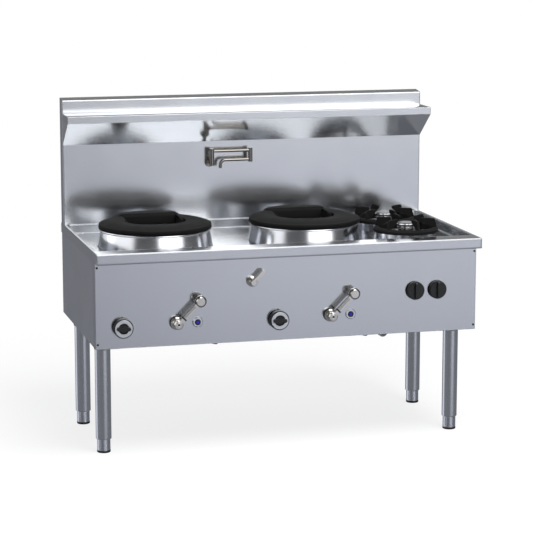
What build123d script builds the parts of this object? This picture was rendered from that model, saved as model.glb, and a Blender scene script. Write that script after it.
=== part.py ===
"""Commercial gas wok range: two wok burners, two side burners, splashback with shelf and spout.

Millimetres, +Z up, +Y to the wall behind the range, +X to the cook's right.
The origin is on the floor, under the middle of the range's outer box.
"""
from build123d import *
import math
import os

# ---------------------------------------------------------------- overall
width = 1500.0            # hob, side to side
depth = 800.0             # hob lip to the back of the splashback
height = 1300.0           # floor to the top of the splashback
hob_height = 797.0        # floor to the top of the hob rim
cabinet_floor = 430.0     # floor to the bottom edge of the cabinet

# ---------------------------------------------------------------- sheet metal
sheet = 1.5               # panels, splashback and shelf
hob_sheet = 2.0           # pressed hob
seam = 0.3                # gap between folded sheets and under loose castings
flange = 20.0             # turned-in edge of a panel
lip_height = 38.5         # skirt round the hob
lip_round = 1.5           # rounded top edge of the hob
rim_front = 80.0          # flat rim in front of the deck
rim_side = 10.0
deck_drop = 40.0          # deck below the rim
deck_corner = 18.0
panel_recess = 55.0       # front panel behind the hob lip
panel_wrap = 58.0         # front panel's return round the cabinet's corner
vent_slot_length = 90.0
vent_slot_width = 8.0
vent_rows = 5
vent_pitch = 24.0
vent_span = 420.0         # between the two groups of slots

# ---------------------------------------------------------------- splashback and shelf
splash_depth = 60.0
splash_inset = 2.0        # splashback inside the hob's side
shelf_reach = 133.0       # shelf in front of the splashback
shelf_height = 1214.0     # floor to the underside of the shelf tray
shelf_lip = 28.0
shelf_fall = 99.0         # slope of the underside, front to wall
cover_screw_inset = 40.0
cover_screw_radius = 4.0
cover_screw_pitch = 300.0

# ---------------------------------------------------------------- legs and feet
leg_radius = 30.0
leg_wall = 1.5
leg_inset = 52.0          # leg axis inside the hob's side
front_leg_setback = 195.0
rear_leg_setback = 152.0
channel_width = 88.0
channel_height = 25.0
leg_end_height = 52.0     # floor to the bottom of the leg tube
leg_end_round = 3.5
foot_radius = 25.4
foot_fit = 0.08           # running fit of the foot in the leg's socket
foot_guide = 30.0         # depth of the leg's socket
foot_overlap = 38.0       # foot inside the leg at rest
foot_wall = 4.0
foot_pad_radius = 25.2
foot_pad_round = 2.5
foot_pad_height = 8.0

# ---------------------------------------------------------------- wok burners
wok_inset = 300.0         # left wok's centre from the hob's left side
wok_setback = 388.0       # wok centres behind the lip
stand_base_radius = 223.0
stand_top_radius = 212.0
stand_height = 72.0
stand_bead = 10.0         # rolled bead under the casting
stand_ledge = 14.0        # turned-in top edge that carries the casting
ring_radius = 219.0       # wok ring casting
ring_edge = 17.5          # height of the casting's outer edge
ring_crest_radius = 158.0
ring_crest = 29.0         # crest above the casting's seat
ring_mouth_radius = 118.0
ring_mouth_fall = 1.0     # mouth's edge below the crest
ring_wall = 8.0
ring_spigot = 9.0
ring_round = 4.0
flue_rise = 8.5           # raised flue at the back, above the crest
flue_half = 107.0         # half the width of the flue's level top
flue_front = 119.5        # flue's upright wall behind the mouth's centre
flue_back_radius = 188.0
flue_flank = 2.0          # run of each sloping end for each unit of fall
bowl_radius = 150.0
bowl_depth = 197.0
bowl_bevel = 12.0
bowl_flange = 22.0
bowl_mouth_radius = 80.0
head_radius = 75.0
head_height = 34.0
riser_radius = 28.0
venturi_radius = 18.5
venturi_wall = 3.5
venturi_drop = 6.5        # venturi's axis under the cabinet's floor edge
venturi_side = 185.0      # injector to the right of the wok's centre
venturi_front = 238.0     # injector in front of the wok's centre
port_count = 12
port_radius = 3.0
rail_size = 25.0
rail_wall = 3.0
rail_below_bowl = 10.0    # burner rails under the bowl's floor
rail_gap = 110.0          # clear space between a wok's two rails
pilot_burner_side = 100.0 # pilot burner to the left of the wok's centre
pilot_burner_front = 30.0
pilot_burner_height = 54.0 # above the bowl's floor
pilot_burner_tip = 6.0

# ---------------------------------------------------------------- side burners
side_inset = 225.0        # side burners from the hob's right side
side_pitch = 375.0        # side burners from the right wok's centre
front_burner_setback = 248.0
rear_burner_setback = 525.0
spill_radius = 120.0
spill_height = 40.0
trivet_radius = 128.0
trivet_edge = 18.0
trivet_bore = 106.0
trivet_fins = 6
trivet_turn = -24.0
fin_thickness = 9.0
fin_reach = 121.0
fin_inner = 60.0
fin_top = 52.0            # fin tops above the trivet's seat
burner_radius = 32.0
burner_flange = 55.0
burner_height = 58.0      # burner top above the deck
cap_radius = 36.0
cap_height = 15.0
cap_spigot_radius = 20.0
cap_spigot = 9.0
mixer_radius = 11.0
front_mixer_drop = 14.0   # mixing tubes under the deck
rear_mixer_drop = 44.0

# ---------------------------------------------------------------- front controls
pilot_side = 197.0        # pilot knob to the left of the wok's centre
pilot_height = 510.0
lever_side = 8.0          # lever hub to the right of the wok's centre
lever_height = 517.0
button_side = 90.0
button_height = 516.0
tap_height = 662.0
side_knob_shift = 19.0    # middle of the side knobs from the side burners
side_knob_pitch = 90.0
side_knob_height = 595.0
hole_clearance = 1.0      # panel holes round shafts
spindle_radius = 4.0
spindle_fit = 0.05
spindle_push = 4.0        # travel of a knob pushed in to light
pilot_knob_radius = 37.0
pilot_knob_reach = 42.0
side_knob_radius = 35.5
side_knob_reach = 30.0
lever_hub_radius = 24.0
lever_length = 120.0
lever_reach = 52.0
lever_angle = 45.0
lever_arm_width = 17.0
lever_knob_radius = 21.0
tap_hub_radius = 20.0
tap_length = 55.0
tap_reach = 40.0
tap_handle_width = 15.0
bezel_radius = 20.0
bezel_reach = 5.0
button_radius = 9.0
button_fit = 0.1
button_travel = 5.0
button_stand = 3.0        # button in front of its bezel at rest
button_length = 30.0
knob_face = 12.0          # knob's face behind the front of its grip
pilot_grip_length = 54.0
pilot_grip_width = 18.0
side_grip_width = 14.0
screw_inset = 7.5
screw_radius = 2.5
screw_head_radius = 4.5
screw_head = 2.5
screw_edge = 18.0         # lower screws above the panel's bottom edge
screw_drop = 57.0         # upper screws under the hob

# ---------------------------------------------------------------- pipes
manifold_radius = 13.5
manifold_wall = 2.6
manifold_height = 560.0
manifold_back = 26.0      # manifold behind the front panel
valve_length = 42.0
valve_radius = 15.0
valve_boss_radius = 9.0
valve_boss_gap = 6.0
supply_height = 419.0     # floor to the axis of the gas and water supplies
gas_inlet_shift = 240.0   # gas inlet to the right of the right wok
water_inlet_shift = 67.0  # water inlet to the right of the spout
socket_radius = 21.0
socket_length = 32.0
gas_thread_radius = 15.15
water_socket_radius = 15.0
water_thread_radius = 9.3
thread_depth = 20.0
inlet_inset = 2.0         # inlet faces inside the range's back
water_radius = 11.0
water_riser = 50.0        # riser behind the tap
water_rise = 30.0         # spout pipe's first run above the tap
gas_pipe_radius = 7.0
pilot_pipe_radius = 3.0
pipe_wall = 1.0
pipe_bend = 20.0
drain_radius = 24.0
drain_wall = 1.5
drain_flange = 40.0
drain_end_height = 400.0
drain_spigot = 60.0       # free end under the union nut
drain_setback = 55.0      # drain in front of the splashback

# ---------------------------------------------------------------- spout
spout_height = 1030.0     # floor to the wall flange's axis
spout_reach = 43.0        # swivels in front of the splashback
spout_flange_radius = 20.0
spout_flange = 8.0
spout_tube_radius = 6.5
spout_boss_radius = 10.0
spout_neck_radius = 7.0
spout_pin_radius = 5.0
spout_fit = 0.05
spout_upper_height = 1079.0
spout_lower_height = 1042.0
spout_upper_length = 160.0
spout_lower_length = 105.0
spout_drop = 20.0

# ---------------------------------------------------------------- places worked out from the sizes
front_y = -depth / 2
back_y = depth / 2
under_hob = hob_height - hob_sheet
lip_bottom = hob_height - lip_height
deck_z = hob_height - deck_drop
deck_under = deck_z - hob_sheet
cabinet_half = width / 2 - hob_sheet - seam
panel_y = front_y + panel_recess
panel_back = panel_y + sheet
rear_y = back_y - hob_sheet - seam
splash_y = back_y - splash_depth
splash_half = width / 2 - splash_inset
shelf_y = splash_y - shelf_reach
wok_y = front_y + wok_setback
left_wok_x = -width / 2 + wok_inset
side_x = width / 2 - side_inset
right_wok_x = side_x - side_pitch
wok_centres = {"left": left_wok_x, "right": right_wok_x}
spout_x = (left_wok_x + right_wok_x) / 2
side_burners = {
    "front": (front_y + front_burner_setback, front_mixer_drop, -1),
    "rear": (front_y + rear_burner_setback, rear_mixer_drop, 1),
}
leg_x = width / 2 - leg_inset
leg_places = {
    "front_left": (-leg_x, front_y + front_leg_setback),
    "front_right": (leg_x, front_y + front_leg_setback),
    "rear_left": (-leg_x, back_y - rear_leg_setback),
    "rear_right": (leg_x, back_y - rear_leg_setback),
}
leg_top = cabinet_floor - channel_height
stand_top = deck_z + stand_height
ring_seat = stand_top + seam
bowl_floor = deck_z - bowl_depth
spill_top = deck_z + spill_height
trivet_seat = spill_top + seam
burner_top = deck_z + burner_height
cap_seat = burner_top + seam
manifold_y = panel_back + manifold_back
valve_back = panel_back + valve_length
rail_top = bowl_floor - rail_below_bowl
rail_height = rail_top - rail_size
venturi_height = cabinet_floor - venturi_drop
side_knob_x = {
    "left": side_x + side_knob_shift - side_knob_pitch / 2,
    "right": side_x + side_knob_shift + side_knob_pitch / 2,
}
swivel_y = splash_y - spout_reach
elbow_x = spout_x + spout_upper_length
gas_inlet_x = right_wok_x + gas_inlet_shift
water_inlet_x = spout_x + water_inlet_shift
inlet_y = back_y - inlet_inset
drain_y = splash_y - drain_setback
screw_places = [(side * (cabinet_half - screw_inset), z) for side in (-1, 1)
                for z in (cabinet_floor + screw_edge, under_hob - screw_drop)]
head_seat = rail_top + seam


def save(piece, name):
    """Label a finished piece and write its file."""
    piece.part.label = name
    export_step(piece.part, "parts/" + name + ".step")


def facing(y):
    """Sketch plane across the range at depth y; a positive extrusion comes towards the cook."""
    return Plane.XZ.offset(-y)


def standing(x, y):
    """Upright sketch plane through (x, y): first coordinate to the right, second up from the floor."""
    return Plane(origin=(x, y, 0), x_dir=(1, 0, 0), z_dir=(0, -1, 0))


def upright_axis(x, y):
    """Vertical axis through (x, y)."""
    return Axis((x, y, 0), (0, 0, 1))


def lying(x, z):
    """Level sketch plane at height z: first coordinate out from x, second along Y."""
    return Plane(origin=(x, 0, z), x_dir=(1, 0, 0), z_dir=(0, 0, 1))


def level_axis(x, z):
    """Axis that runs front to back through (x, z)."""
    return Axis((x, 0, z), (0, 1, 0))


def bent_pipe(points, radius, wall, bend):
    """Round pipe along straight runs joined by tangent bends."""
    with BuildPart() as run:
        with BuildLine() as path:
            FilletPolyline(*points, radius=bend)
        with BuildSketch(Plane(origin=path.line @ 0, z_dir=path.line % 0)):
            Circle(radius)
            Circle(radius - wall, mode=Mode.SUBTRACT)
        sweep(path=path.line)
    return run


# ================================================================ cabinet
def hob_top():
    """Pressed hob: skirt, flat rim, sunk deck with its burner and drain openings."""
    recess_width = width - 2 * rim_side
    recess_length = splash_y - front_y - rim_front
    recess_y = front_y + rim_front + recess_length / 2
    with BuildPart() as hob:
        with BuildSketch(Plane.XY.offset(lip_bottom)):
            Rectangle(width, depth)
        extrude(amount=lip_height)
        rim_edges = hob.faces().sort_by(Axis.Z)[-1].edges()
        fillet(rim_edges, radius=min(lip_round, 0.8 * hob_sheet))
        with BuildSketch(Plane.XY.offset(lip_bottom)):
            Rectangle(width - 2 * hob_sheet, depth - 2 * hob_sheet)
        extrude(amount=lip_height - hob_sheet, mode=Mode.SUBTRACT)
        with BuildSketch(Plane.XY.offset(deck_under)):
            with Locations((0, recess_y)):
                RectangleRounded(recess_width + 2 * hob_sheet, recess_length + 2 * hob_sheet,
                                 deck_corner + hob_sheet)
        extrude(amount=deck_drop + hob_sheet - lip_round)
        with BuildSketch(Plane.XY.offset(deck_z)):
            with Locations((0, recess_y)):
                RectangleRounded(recess_width, recess_length, deck_corner)
        extrude(amount=deck_drop, mode=Mode.SUBTRACT)
        with BuildSketch(Plane.XY.offset(deck_under)):
            with Locations((left_wok_x, wok_y), (right_wok_x, wok_y)):
                Circle(bowl_radius + seam)
            with Locations(*[(side_x, y) for y, drop, side in side_burners.values()]):
                Circle(burner_radius + seam)
            with Locations((left_wok_x, drain_y)):
                Circle(drain_radius + seam)
        extrude(amount=hob_sheet, mode=Mode.SUBTRACT)
        with BuildSketch(Plane.XY.offset(under_hob)):
            with Locations((spout_x, back_y - splash_depth / 2)):
                Circle(water_radius + hole_clearance)
        extrude(amount=hob_sheet, mode=Mode.SUBTRACT)
    return hob


def front_panel():
    """Control panel: wraps both corners, turned in along the top and bottom, pierced for the controls."""
    panel_height = under_hob - cabinet_floor
    fold_half = cabinet_half - sheet - seam
    shafts = [(x - pilot_side, pilot_height) for x in wok_centres.values()]
    shafts += [(x + lever_side, lever_height) for x in wok_centres.values()]
    shafts += [(x, side_knob_height) for x in side_knob_x.values()]
    shafts += [(spout_x, tap_height)]
    with BuildPart() as panel:
        with BuildSketch(Plane.XY.offset(cabinet_floor)):
            with Locations((0, panel_y + panel_wrap / 2)):
                Rectangle(2 * cabinet_half, panel_wrap)
            with Locations((0, panel_back + panel_wrap / 2)):
                Rectangle(2 * fold_half + 2 * seam, panel_wrap, mode=Mode.SUBTRACT)
        extrude(amount=panel_height)
        for fold_z in (cabinet_floor + sheet / 2, under_hob - sheet / 2):
            with BuildSketch(facing(panel_back + flange - sheet)):
                with Locations((0, fold_z)):
                    Rectangle(2 * fold_half, sheet)
            extrude(amount=flange - sheet)
        with BuildSketch(facing(panel_back)):
            with Locations(*shafts):
                Circle(spindle_radius + 2 * hole_clearance)
            with Locations(*[(x + button_side, button_height) for x in wok_centres.values()]):
                Circle(button_radius + 2 * hole_clearance + sheet)
            with Locations(*screw_places):
                Circle(screw_radius)
        extrude(amount=sheet, mode=Mode.SUBTRACT)
    return panel


def side_panel(side):
    """Side of the cabinet, turned in behind the front panel's return, at the back and at the bottom."""
    start_y = panel_y + panel_wrap + seam
    end_y = rear_y - sheet
    length = end_y - start_y
    rise = under_hob - cabinet_floor
    with BuildPart() as panel:
        with BuildSketch(Plane.XY.offset(cabinet_floor)):
            with Locations((side * (cabinet_half - sheet / 2), start_y + length / 2)):
                Rectangle(sheet, length)
            with Locations((side * (cabinet_half - flange / 2), end_y - sheet / 2)):
                Rectangle(flange, sheet)
        extrude(amount=rise)
        with BuildSketch(Plane.XY.offset(cabinet_floor)):
            with Locations((side * (cabinet_half - flange), start_y + length / 2)):
                Rectangle(2 * flange, length)
        extrude(amount=sheet)
        # tongue behind the front panel's return
        with BuildSketch(Plane.XY.offset(cabinet_floor + 2 * sheet)):
            with Locations((side * (cabinet_half - 1.5 * sheet), start_y)):
                Rectangle(sheet, 2 * flange)
        extrude(amount=rise - 4 * sheet)
    return panel


def rear_panel():
    """Back of the cabinet with two groups of vent slots and notches over the inlets."""
    rise = under_hob - cabinet_floor
    with BuildPart() as panel:
        with BuildSketch(facing(rear_y)):
            with Locations((0, cabinet_floor + rise / 2)):
                Rectangle(2 * cabinet_half, rise)
            for x in (-vent_span, vent_span):
                with Locations((x, cabinet_floor + rise / 2)):
                    with GridLocations(1, vent_pitch, 1, vent_rows):
                        SlotOverall(vent_slot_length, vent_slot_width, mode=Mode.SUBTRACT)
            with Locations((gas_inlet_x, supply_height)):
                Circle(socket_radius + hole_clearance, mode=Mode.SUBTRACT)
            with Locations((water_inlet_x, supply_height)):
                Circle(water_socket_radius + hole_clearance, mode=Mode.SUBTRACT)
        extrude(amount=sheet)
    return panel


def leg_channel(side):
    """Open channel under the cabinet that joins a front and a rear leg."""
    run_start = front_y + front_leg_setback - leg_radius
    run = back_y - rear_leg_setback + leg_radius - run_start
    channel_x = side * (leg_x + leg_radius - channel_width / 2)
    with BuildPart() as channel:
        with BuildSketch(Plane.XY.offset(leg_top)):
            with Locations((channel_x, run_start + run / 2)):
                Rectangle(channel_width, run)
        extrude(amount=channel_height)
        with BuildSketch(Plane.XY.offset(leg_top + hob_sheet)):
            with Locations((channel_x, run_start + run / 2)):
                Rectangle(channel_width - 2 * hob_sheet, run - 2 * hob_sheet)
        extrude(amount=channel_height - hob_sheet, mode=Mode.SUBTRACT)
    return channel


def burner_rails():
    """Two angle rails across the cabinet that carry the wok burners."""
    length = 2 * (cabinet_half - sheet)
    with BuildPart() as rails:
        for side in (-1, 1):
            inner_y = wok_y + side * rail_gap / 2
            with BuildSketch(Plane.YZ.offset(-length / 2)):
                with Locations((inner_y + side * rail_size / 2, rail_top - rail_wall / 2)):
                    Rectangle(rail_size, rail_wall)
                with Locations((inner_y + side * (rail_size - rail_wall / 2), rail_height + rail_size / 2)):
                    Rectangle(rail_wall, rail_size)
            extrude(amount=length)
    return rails


def splashback_front():
    """Splashback: front sheet folded back over the top and sides, pierced for the spout."""
    rise = height - hob_height
    with BuildPart() as splash:
        with BuildSketch(Plane.XY.offset(hob_height)):
            with Locations((0, splash_y + (splash_depth - sheet) / 2)):
                Rectangle(2 * splash_half, splash_depth - sheet)
        extrude(amount=rise)
        with BuildSketch(Plane.XY.offset(hob_height)):
            with Locations((0, splash_y + splash_depth / 2 + sheet / 2)):
                Rectangle(2 * (splash_half - sheet), splash_depth - sheet)
        extrude(amount=rise - sheet, mode=Mode.SUBTRACT)
        with BuildSketch(facing(splash_y + sheet)):
            with Locations((spout_x, spout_height)):
                Circle(water_radius + hole_clearance)
        extrude(amount=sheet, mode=Mode.SUBTRACT)
    return splash


def splashback_back():
    """Back cover of the splashback with its row of screw holes."""
    rise = height - hob_height
    columns = int((2 * splash_half - 2 * cover_screw_inset) // cover_screw_pitch) + 1
    with BuildPart() as cover:
        with BuildSketch(facing(back_y)):
            with Locations((0, hob_height + rise / 2)):
                Rectangle(2 * splash_half, rise)
                with GridLocations(cover_screw_pitch, rise - 2 * cover_screw_inset, columns, 2):
                    Circle(cover_screw_radius, mode=Mode.SUBTRACT)
        extrude(amount=sheet)
    return cover


def shelf_tray():
    """Shallow shelf with a raised front lip and raised ends."""
    with BuildPart() as tray:
        with BuildSketch(Plane.XY.offset(shelf_height)):
            with Locations((0, shelf_y + shelf_reach / 2)):
                Rectangle(2 * splash_half, shelf_reach)
        extrude(amount=shelf_lip)
        with BuildSketch(Plane.XY.offset(shelf_height + sheet)):
            with Locations((0, shelf_y + sheet + shelf_reach / 2)):
                Rectangle(2 * (splash_half - sheet), shelf_reach)
        extrude(amount=shelf_lip - sheet, mode=Mode.SUBTRACT)
    return tray


def shelf_underside():
    """Sloping underside of the shelf with its two triangular ends."""
    slope = math.hypot(shelf_reach, shelf_fall)
    with BuildPart() as under:
        with BuildSketch(Plane.YZ.offset(-splash_half)):
            Polygon((shelf_y, shelf_height), (splash_y, shelf_height), (splash_y, shelf_height - shelf_fall),
                    align=None)
        extrude(amount=2 * splash_half)
        with BuildSketch(Plane.YZ.offset(-splash_half + sheet)):
            Polygon((shelf_y + sheet * slope / shelf_fall, shelf_height), (splash_y, shelf_height),
                    (splash_y, shelf_height - shelf_fall + sheet * slope / shelf_reach), align=None)
        extrude(amount=2 * (splash_half - sheet), mode=Mode.SUBTRACT)
    return under


def leg(x, y):
    """Leg tube with the rounded socket for its foot."""
    bore = foot_radius + foot_fit
    with BuildPart() as tube:
        with BuildSketch(standing(x, y)):
            with BuildLine():
                Polyline((leg_radius, leg_end_height + leg_end_round), (leg_radius, leg_top),
                         (leg_radius - leg_wall, leg_top),
                         (leg_radius - leg_wall, leg_end_height + foot_guide),
                         (bore, leg_end_height + foot_guide), (bore, leg_end_height),
                         (leg_radius - leg_end_round, leg_end_height))
                RadiusArc((leg_radius - leg_end_round, leg_end_height),
                          (leg_radius, leg_end_height + leg_end_round), -leg_end_round)
            make_face()
        revolve(axis=upright_axis(x, y))
    return tube


def foot(x, y):
    """Adjustable foot: sleeve that runs up inside the leg, on a wider pad."""
    sleeve_top = leg_end_height + foot_overlap
    pad_bend = foot_pad_round * (1 - math.sqrt(0.5))
    with BuildPart() as piece:
        with BuildSketch(standing(x, y)):
            with BuildLine():
                Line((0, 0), (foot_pad_radius - foot_pad_round, 0))
                ThreePointArc((foot_pad_radius - foot_pad_round, 0),
                              (foot_pad_radius - pad_bend, pad_bend), (foot_pad_radius, foot_pad_round))
                Polyline((foot_pad_radius, foot_pad_round), (foot_pad_radius, foot_pad_height),
                         (foot_radius, foot_pad_height), (foot_radius, sleeve_top),
                         (foot_radius - foot_wall, sleeve_top), (foot_radius - foot_wall, foot_pad_height),
                         (0, foot_pad_height), (0, 0))
            make_face()
        revolve(axis=upright_axis(x, y))
    return piece


def panel_screws():
    """Button-head screws at the front panel's corners."""
    with BuildPart() as screws:
        with BuildSketch(facing(panel_y)):
            with Locations(*screw_places):
                Circle(screw_head_radius)
        extrude(amount=screw_head, taper=20)
        with BuildSketch(facing(panel_y + 4 * sheet)):
            with Locations(*screw_places):
                Circle(screw_radius)
        extrude(amount=4 * sheet)
    return screws


# ================================================================ wok burners
def wok_stand(x):
    """Polished cone on the deck, with a rolled bead and a turned-in top that carries the wok ring."""
    ledge_radius = stand_top_radius - stand_ledge
    bead_foot = stand_top - stand_bead
    bead_middle = stand_top - stand_bead / 2
    bead_reach = stand_top_radius + stand_bead / 2
    with BuildPart() as stand:
        with BuildSketch(standing(x, wok_y)):
            with BuildLine():
                Polyline((stand_base_radius - hob_sheet, deck_z), (stand_base_radius, deck_z),
                         (stand_top_radius, bead_foot))
                ThreePointArc((stand_top_radius, bead_foot), (bead_reach, bead_middle),
                              (stand_top_radius, stand_top))
                Polyline((stand_top_radius, stand_top), (ledge_radius, stand_top),
                         (ledge_radius, stand_top - hob_sheet), (stand_top_radius, stand_top - hob_sheet))
                ThreePointArc((stand_top_radius, stand_top - hob_sheet),
                              (bead_reach - hob_sheet, bead_middle),
                              (stand_top_radius, bead_foot + hob_sheet))
                Polyline((stand_top_radius, bead_foot + hob_sheet), (stand_top_radius - hob_sheet, bead_foot),
                         (stand_base_radius - hob_sheet, deck_z))
            make_face()
        revolve(axis=upright_axis(x, wok_y))
    return stand


def wok_ring(x):
    """Cast ring that the wok sits in: domed plate with a seating spigot and a raised flue at the back."""
    edge_top = ring_seat + ring_edge
    crest = ring_seat + ring_crest
    mouth_edge = crest - ring_mouth_fall
    mouth_foot = mouth_edge - ring_wall
    spigot_outer = stand_top_radius - stand_ledge - 2 * seam
    spigot_inner = spigot_outer - ring_wall
    edge_radius = ring_radius - ring_round
    edge_bend = ring_round * (1 - math.sqrt(0.5))
    with BuildPart() as ring:
        with BuildSketch(standing(x, wok_y)):
            with BuildLine():
                Polyline((spigot_outer, ring_seat), (ring_radius, ring_seat),
                         (ring_radius, edge_top - ring_round))
                ThreePointArc((ring_radius, edge_top - ring_round),
                              (ring_radius - edge_bend, edge_top - edge_bend), (edge_radius, edge_top))
                TangentArc((ring_crest_radius, crest), (edge_radius, edge_top), tangent=(1, 0))
                TangentArc((ring_crest_radius, crest), (ring_mouth_radius + ring_round, mouth_edge),
                           tangent=(-1, 0))
                ThreePointArc((ring_mouth_radius + ring_round, mouth_edge),
                              (ring_mouth_radius + edge_bend, mouth_edge - edge_bend),
                              (ring_mouth_radius, mouth_edge - ring_round))
                Polyline((ring_mouth_radius, mouth_edge - ring_round), (ring_mouth_radius, mouth_foot),
                         (ring_crest_radius, crest - ring_wall))
                TangentArc((ring_crest_radius, crest - ring_wall), (spigot_inner, edge_top - ring_wall),
                           tangent=(1, 0))
                Polyline((spigot_inner, edge_top - ring_wall), (spigot_inner, ring_seat - ring_spigot),
                         (spigot_outer, ring_seat - ring_spigot), (spigot_outer, ring_seat))
            make_face()
        revolve(axis=upright_axis(x, wok_y))
    with BuildPart() as flue:
        flue_top = crest + flue_rise
        root = ring_wall / 2
        with BuildSketch(standing(x, wok_y)):
            Polygon((ring_mouth_radius, mouth_edge - root), (ring_mouth_radius, flue_top),
                    (flue_back_radius, flue_top), (edge_radius, edge_top), (edge_radius, edge_top - root),
                    (ring_crest_radius, crest - root), align=None)
        revolve(axis=upright_axis(x, wok_y))
        with BuildSketch(facing(wok_y + ring_radius)) as outline:
            floor = edge_top - ring_wall
            foot_half = flue_half + flue_flank * (flue_top - floor)
            Polygon((x - foot_half, floor), (x - flue_half, flue_top), (x + flue_half, flue_top),
                    (x + foot_half, floor), align=None)
            fillet(outline.vertices().sort_by(Axis.Z)[-2:], radius=3 * ring_round)
        extrude(amount=ring_radius - flue_front, mode=Mode.INTERSECT)
        front_top = flue.faces().sort_by(Axis.Y)[0].edges().sort_by(Axis.Z)[-1]
        fillet(front_top, radius=ring_round / 2)
    with BuildPart() as casting:
        add(ring.part)
        add(flue.part)
    return casting


def fire_bowl(x):
    """Combustion bowl hung from the deck by its flange, open at the top, pierced below."""
    with BuildPart() as bowl:
        with BuildSketch(standing(x, wok_y)):
            Polygon((bowl_mouth_radius, bowl_floor), (bowl_radius - bowl_bevel, bowl_floor),
                    (bowl_radius, bowl_floor + bowl_bevel), (bowl_radius, deck_z),
                    (bowl_radius + bowl_flange, deck_z), (bowl_radius + bowl_flange, deck_z + hob_sheet),
                    (bowl_radius - hob_sheet, deck_z + hob_sheet),
                    (bowl_radius - hob_sheet, bowl_floor + bowl_bevel + 1),
                    (bowl_radius - bowl_bevel - 1, bowl_floor + hob_sheet),
                    (bowl_mouth_radius, bowl_floor + hob_sheet), align=None)
        revolve(axis=upright_axis(x, wok_y))
        with BuildSketch(Plane.XY.offset(bowl_floor)):
            with Locations((x - pilot_burner_side, wok_y - pilot_burner_front)):
                Circle(pilot_pipe_radius + hole_clearance)
        extrude(amount=hob_sheet, mode=Mode.SUBTRACT)
    return bowl


def wok_burner(x):
    """Cast burner: ported head, seat flange, riser and venturi running to the front."""
    span = math.hypot(venturi_side, venturi_front)
    heading = math.degrees(math.atan2(-venturi_front, venturi_side))
    head_base = bowl_floor + 5
    head_top = head_base + head_height
    mouth = Plane(origin=(x, wok_y, venturi_height), x_dir=(0, 0, 1),
                  z_dir=(math.cos(math.radians(heading)), math.sin(math.radians(heading)), 0))
    with BuildPart() as burner:
        with BuildSketch(standing(x, wok_y)):
            Polygon((0, venturi_height - venturi_radius), (riser_radius, venturi_height - venturi_radius),
                    (riser_radius, head_seat), (rail_gap / 2 + rail_size, head_seat),
                    (rail_gap / 2 + rail_size, head_seat + 6), (riser_radius + 6, head_seat + 6),
                    (head_radius - 8, head_base), (head_radius, head_base + 8), (head_radius, head_top - 6),
                    (head_radius - 6, head_top), (0, head_top), align=None)
        revolve(axis=upright_axis(x, wok_y))
        with BuildSketch(mouth):
            Circle(venturi_radius)
        extrude(amount=span)
        with BuildSketch(Plane.XY.offset(venturi_height)):
            with Locations((x + venturi_side, wok_y - venturi_front)):
                Circle(valve_boss_radius + 2)
        extrude(amount=venturi_radius + 4)
        with BuildSketch(mouth.offset(riser_radius + venturi_radius)):
            Circle(venturi_radius - venturi_wall)
        extrude(amount=span - riser_radius - 2 * venturi_radius - 16, mode=Mode.SUBTRACT)
        # air shutter slots near the injector
        with BuildSketch(mouth.offset(span - 2 * venturi_radius - 12)):
            Rectangle(3 * venturi_radius, venturi_radius / 2)
        extrude(amount=16, mode=Mode.SUBTRACT)
        with BuildSketch(Plane.XY.offset(head_top)):
            with Locations((x, wok_y)):
                with PolarLocations(head_radius - 20, port_count):
                    Circle(port_radius)
        extrude(amount=-12, mode=Mode.SUBTRACT)
    return burner


def pilot_set(x):
    """Pilot burner on the bowl's floor with the pipe from its valve."""
    floor_top = bowl_floor + hob_sheet
    tip_z = floor_top + pilot_burner_height
    pilot_x = x - pilot_burner_side
    pilot_y = wok_y - pilot_burner_front
    turn_y = valve_back + 45
    with BuildPart() as pilot:
        with BuildSketch(standing(pilot_x, pilot_y)):
            Polygon((0, floor_top), (10, floor_top), (10, floor_top + 3), (6, floor_top + 3),
                    (6, tip_z - pilot_burner_tip), (4, tip_z), (0, tip_z), align=None)
        revolve(axis=upright_axis(pilot_x, pilot_y))
        add(bent_pipe([(x - pilot_side, valve_back, pilot_height), (x - pilot_side, turn_y, pilot_height),
                       (pilot_x, turn_y, pilot_height), (pilot_x, pilot_y, pilot_height),
                       (pilot_x, pilot_y, floor_top)], pilot_pipe_radius, pipe_wall, pipe_bend / 2).part)
    return pilot


# ================================================================ side burners
def spill_ring(y):
    """Polished ring on the deck that carries a trivet."""
    with BuildPart() as ring:
        with BuildSketch(standing(side_x, y)):
            Polygon((spill_radius - hob_sheet, deck_z), (spill_radius, deck_z), (spill_radius, spill_top),
                    (spill_radius - hob_sheet, spill_top), align=None)
        revolve(axis=upright_axis(side_x, y))
    return ring


def side_burner(y, drop, side):
    """Side burner: flanged cup through the deck, its mixing tube and injector holder."""
    tube_z = deck_under - drop - mixer_radius
    cup_bottom = tube_z - mixer_radius - 3
    end_x = side_x + side_knob_shift + side * side_knob_pitch / 2
    end_y = valve_back + 20
    span = math.hypot(end_x - side_x, end_y - y)
    mouth = Plane(origin=(side_x, y, tube_z), x_dir=(0, 0, 1),
                  z_dir=((end_x - side_x) / span, (end_y - y) / span, 0))
    with BuildPart() as burner:
        with BuildSketch(standing(side_x, y)):
            Polygon((0, cup_bottom), (burner_radius - 8, cup_bottom), (burner_radius, cup_bottom + 8),
                    (burner_radius, deck_z), (burner_flange, deck_z), (burner_flange, deck_z + 3),
                    (burner_radius, deck_z + 8), (burner_radius - 4, burner_top),
                    (cap_spigot_radius + seam, burner_top),
                    (cap_spigot_radius + seam, burner_top - cap_spigot - 4), (0, burner_top - cap_spigot - 4),
                    align=None)
        revolve(axis=upright_axis(side_x, y))
        with BuildSketch(mouth):
            Circle(mixer_radius)
        extrude(amount=span)
        with BuildSketch(Plane.XY.offset(tube_z - mixer_radius - 4)):
            with Locations((end_x, end_y)):
                Circle(mixer_radius)
        extrude(amount=2 * mixer_radius + 4)
    return burner


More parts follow.
